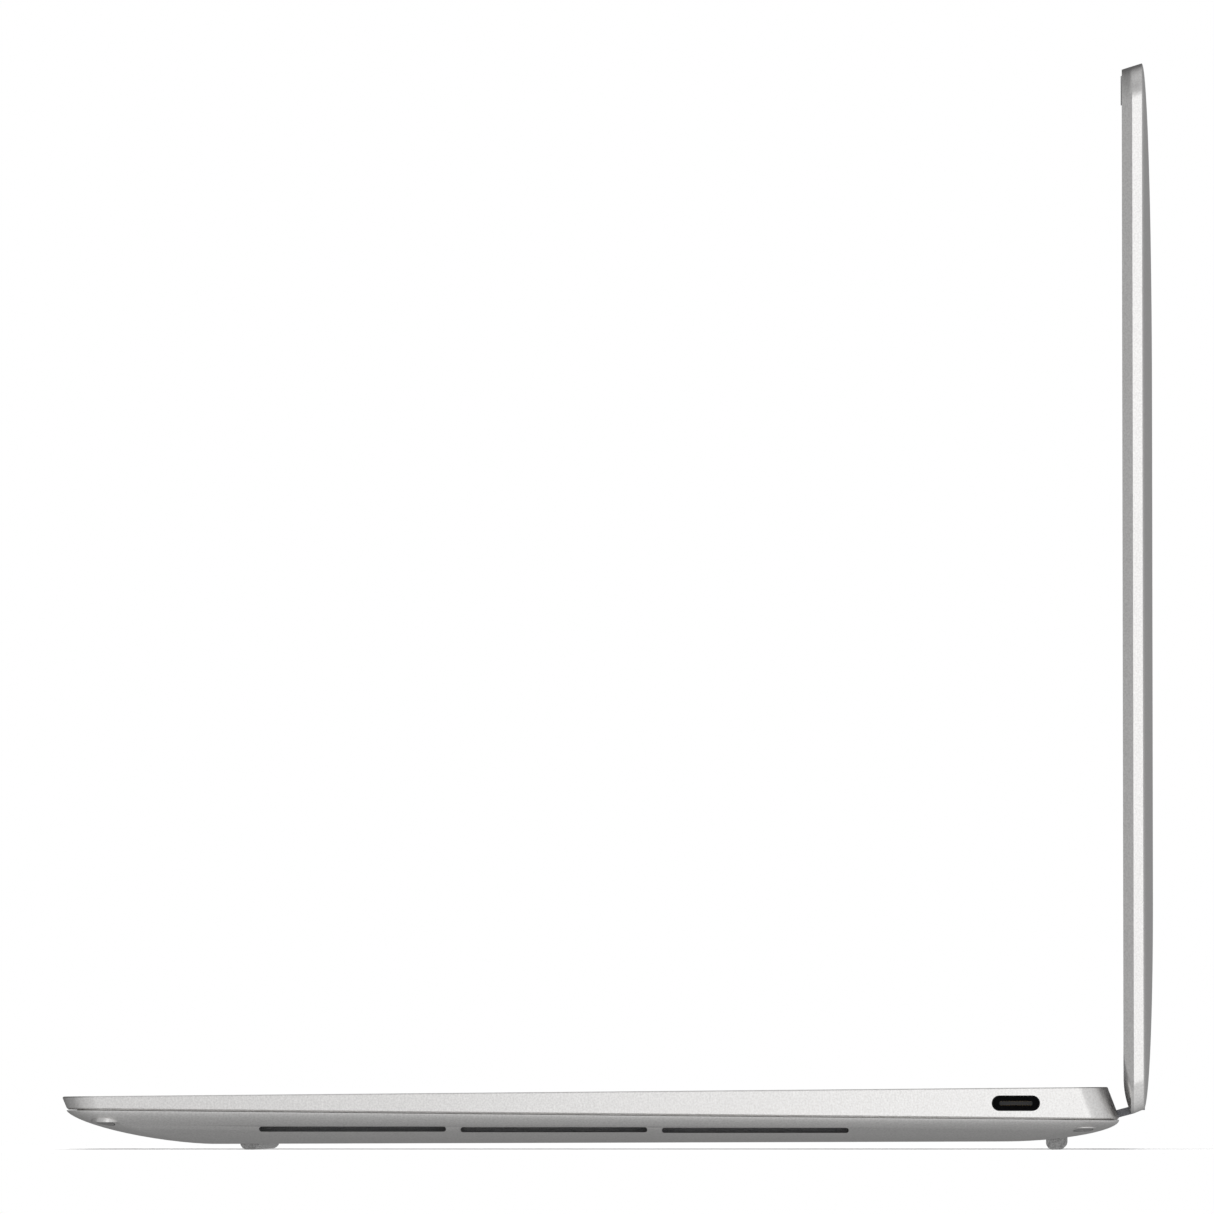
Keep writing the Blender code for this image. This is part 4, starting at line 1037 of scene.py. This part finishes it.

# %% [markdown]
# ## The hinge's cover
#
# A moulded barrel runs the laptop's width and hides the cables between base and screen. A neck joins it
# to the lid. The end pieces are steel and turn on the pins; here they take the barrel's moulded plastic
# finish. Each is a round bar with the neck joined on, made at the hinge's axis.

# %% Hinge cover and arms
BARREL_RADIUS, ARM_LENGTH = 2.8, 10.3


def hinge_bar(name, x0, x1, bore=None):
    clear_selection()
    middle, length = (x0 + x1) / 2, x1 - x0
    bpy.ops.mesh.primitive_cylinder_add(
        vertices=64,
        radius=BARREL_RADIUS * MM,
        depth=length * MM,
        location=at(middle, HINGE_Y, HINGE_Z),
        rotation=(0, math.pi / 2, 0),
    )
    bar = bpy.context.object
    bar.name = name
    bpy.ops.object.transform_apply(location=True, rotation=True, scale=True)
    neck = base_block(x0, x1, HINGE_Y + 1.0, HINGE_Y + 6.1, HINGE_Z - 2.38, HINGE_Z - 1.0)
    neck.select_set(True)
    bpy.ops.object.mode_set(mode="EDIT")
    bpy.ops.mesh.select_all(action="SELECT")
    tilt_selected(math.radians(15), at(0, HINGE_Y, HINGE_Z))
    bpy.ops.object.mode_set(mode="OBJECT")
    carve(bar, neck, "UNION")
    foot = base_block(x0, x1, HINGE_Y + 6.0, HINGE_Y + 8.5, HINGE_Z - 0.1, HINGE_Z + 1.1)
    carve(bar, foot, "UNION")
    if bore:
        clear_selection()
        bpy.ops.mesh.primitive_cylinder_add(
            vertices=48,
            radius=bore * MM,
            depth=(length + 4) * MM,
            location=at(middle, HINGE_Y, HINGE_Z),
            rotation=(0, math.pi / 2, 0),
        )
        carve(bar, bpy.context.object)
    return bar


strip_half = HINGE_HALF - ARM_LENGTH - GAP
strip = hinge_bar("hinge_barrel", -strip_half, strip_half)
finish_piece(strip, "lid", "hinge_cover", slot="hinge_plastic")
arms = []
for side, name in ((-1, "hinge_arm_left"), (1, "hinge_arm_right")):
    x0, x1 = sorted((side * (strip_half + GAP), side * HINGE_HALF))
    arm = hinge_bar(f"{name}_bar", x0, x1, bore=1.65)
    arms.append(finish_piece(arm, "lid", name, slot="hinge_steel"))

# %% [markdown]
# ## Finishes
#
# Each finish is worked out from the real material's own grain: blasted aluminium has pits of a
# tenth of a millimetre, moulded plastic a fine orange peel, rubber light specks. All patterns
# use object coordinates, so a grain keeps its true size on every piece.

# %% Finishes
def surface(name, dark, light, grain, rough=(0.3, 0.4), metallic=0.0, bump=0.1, cloud=0.0, **more):
    """A material whose colour, roughness and height all follow one grain, sized in millimetres."""
    material, shader = new_material(name, Metallic=metallic, **more)
    place = add(material, "ShaderNodeTexCoord")
    noise = add(
        material,
        "ShaderNodeTexNoise",
        {"Vector": (place, "Object"), "Scale": 1 / (grain * MM), "Detail": 3.0},
    )
    broad = add(material, "ShaderNodeTexNoise", {"Vector": (place, "Object"), "Scale": 40.0})
    spread = add(
        material,
        "ShaderNodeMapRange",
        {"Value": (noise, "Fac"), "From Min": 0.3, "From Max": 0.7, "To Min": 0.0, "To Max": 1.0},
    )
    mixed = add(
        material,
        "ShaderNodeMix",
        {"Factor": cloud, "A": (spread, "Result"), "B": (broad, "Fac")},
        data_type="FLOAT",
    )
    tint = add(
        material,
        "ShaderNodeMix",
        {"Factor": (mixed, "Result"), "A": linear(dark), "B": linear(light)},
        data_type="RGBA",
    )
    polish = add(
        material,
        "ShaderNodeMapRange",
        {"Value": (noise, "Fac"), "To Min": rough[0], "To Max": rough[1]},
    )
    relief = add(
        material,
        "ShaderNodeBump",
        {"Height": (noise, "Fac"), "Strength": bump, "Distance": 0.05 * MM},
    )
    link(material, tint, "Result", shader, "Base Color")
    link(material, polish, "Result", shader, "Roughness")
    link(material, relief, "Normal", shader, "Normal")
    return material


# Bead-blasted aluminium, clear anodised: pits of a tenth of a millimetre in a soft silver.
aluminium = surface(
    "aluminium, bead-blasted and anodised", "#DEDDDC", "#F8F7F6", 0.35, (0.3, 0.38), 1.0, 0.4, 0.2
)
# The cover's sheet is blasted a little more coarsely, and its colour is a shade darker than the case's:
# painted shade for the underside.
shaded_cover_metal = surface(
    "aluminium, pressed and blasted", "#D6D5D4", "#F0EFEE", 0.4, (0.34, 0.42), 1.0, 0.4, 0.2
)
# Moulded polycarbonate keycaps, painted silver.
key_paint = surface("polycarbonate, moulded and painted", "#9FA0A3", "#A9AAAD", 0.3, (0.5, 0.6))
# Printed ink is matt and a little uneven.
ink = surface("ink, pad-printed", "#26272A", "#303134", 0.1, (0.6, 0.7))
# Etched glass feels like satin.
pad_glass = surface("glass, etched", "#B8B9BB", "#C2C3C5", 0.25, (0.35, 0.42))
# Rubber with light filler specks.
rubber = surface("rubber, moulded with filler", "#8A8A8A", "#BDBDBD", 0.3, (0.75, 0.9), 0.0, 0.6)
# Stainless steel, drawn, coloured near-black: painted shade for the inside of the sockets.
steel = surface("steel, drawn", "#141415", "#1E1E20", 0.5, (0.3, 0.45), 1.0)
# Screws, turned and nickelled, coloured a shade darker than the cover: painted shade that tones down
# the heads' bright highlight; and rolled plate.
screw_steel = surface("steel, turned and nickelled", "#A9A8A7", "#BDBCBB", 0.4, (0.36, 0.44), 1.0)
plate_steel = surface("steel, rolled", "#7B7C7F", "#8C8D90", 0.8, (0.3, 0.45), 1.0)
# Fibre-filled plastic of the tongue, the hinge cover and the fans.
tongue_plastic = surface("plastic, glass-filled", "#1E1E20", "#2A2A2C", 0.15, (0.4, 0.55))
hinge_plastic = surface("plastic, moulded matt", "#6E6F73", "#808186", 0.3, (0.5, 0.7), 0.0, 0.5)
fan_plastic = surface("plastic, moulded black", "#141416", "#1E1E20", 0.4, (0.4, 0.55))
speaker_plastic = surface("plastic, speaker box", "#17181A", "#242528", 0.6, (0.5, 0.6))
# Woven mesh behind the slots.
lining_mesh = surface("polyester, woven mesh", "#7A7A7C", "#A0A0A2", 0.2, (0.7, 0.9), 0.0, 0.6)
# Contacts plated with gold, coloured far darker than gold: painted shade inside the sockets.
gold = surface("bronze, gold-plated", "#6E5C38", "#806D48", 0.2, (0.2, 0.3), 1.0)
# The screen: a dark glass over a dark panel.
screen_glass = surface("glass, polished black", "#050506", "#08080A", 1.0, (0.04, 0.07), 0.0, 0.0)
panel = surface("liquid-crystal panel, back sheet", "#0B0B0D", "#141417", 0.8, (0.3, 0.4))
camera_plastic = surface("plastic, camera block", "#0A0A0C", "#131316", 0.3, (0.3, 0.4))
gasket = surface("rubber, gasket", "#9A9A9B", "#B0B0B0", 0.2, (0.7, 0.8))
# Inside: wrap film, laminate and copper.
wrap = surface("polyester film, battery wrap", "#101113", "#1A1B1E", 0.9, (0.3, 0.45))
laminate = surface("epoxy laminate, solder mask", "#0E3A22", "#14502F", 0.7, (0.35, 0.5))
copper = surface("copper, drawn and flattened", "#B5683F", "#CE8256", 0.6, (0.3, 0.4), 1.0)


def assign(material, *pieces):
    """Gives pieces one material in place of what they have."""
    for piece in pieces:
        piece.data.materials.clear()
        piece.data.materials.append(material)


nodes = frame["nodes"]
assign(aluminium, case, lid)
assign(shaded_cover_metal, cover, lip)
assign(hinge_plastic, strip, *arms)
assign(lining_mesh, lining)
assign(key_paint, *key_pieces)
assign(ink, *legend_pieces)
assign(pad_glass, pad)
assign(tongue_plastic, *tongues.values())
assign(gold, *contacts.values())
for name, y in FEET:
    assign(rubber, bpy.data.objects[f"{name}_cord"])
assign(screw_steel, *heads.values())
# The sockets' tubes take the near-black steel, painted shade inside the sockets.
for name in ("usb_c_port_left", "usb_c_port_right"):
    assign(steel, bpy.data.objects[f"{name}_tube"])
FINISH_WORDS = (
    ("display_glass", screen_glass),
    ("display_panel", panel),
    ("display_gasket", gasket),
    ("camera_module", camera_plastic),
    ("hinge_", plate_steel),
    ("keyboard_plate", plate_steel),
    ("battery", wrap),
    ("mainboard", laminate),
    ("solid_state_drive", laminate),
    ("cooler", copper),
    ("fan_", fan_plastic),
    ("speaker_", speaker_plastic),
)
carried = 0
for name, node in nodes.items():
    if node.hide_render:
        continue
    for word, material in FINISH_WORDS:
        if name.startswith(word):
            assign(material, node)
            carried += 1
            break
    else:
        print("no finish for", name)
print(carried, "carried-over nodes finished")
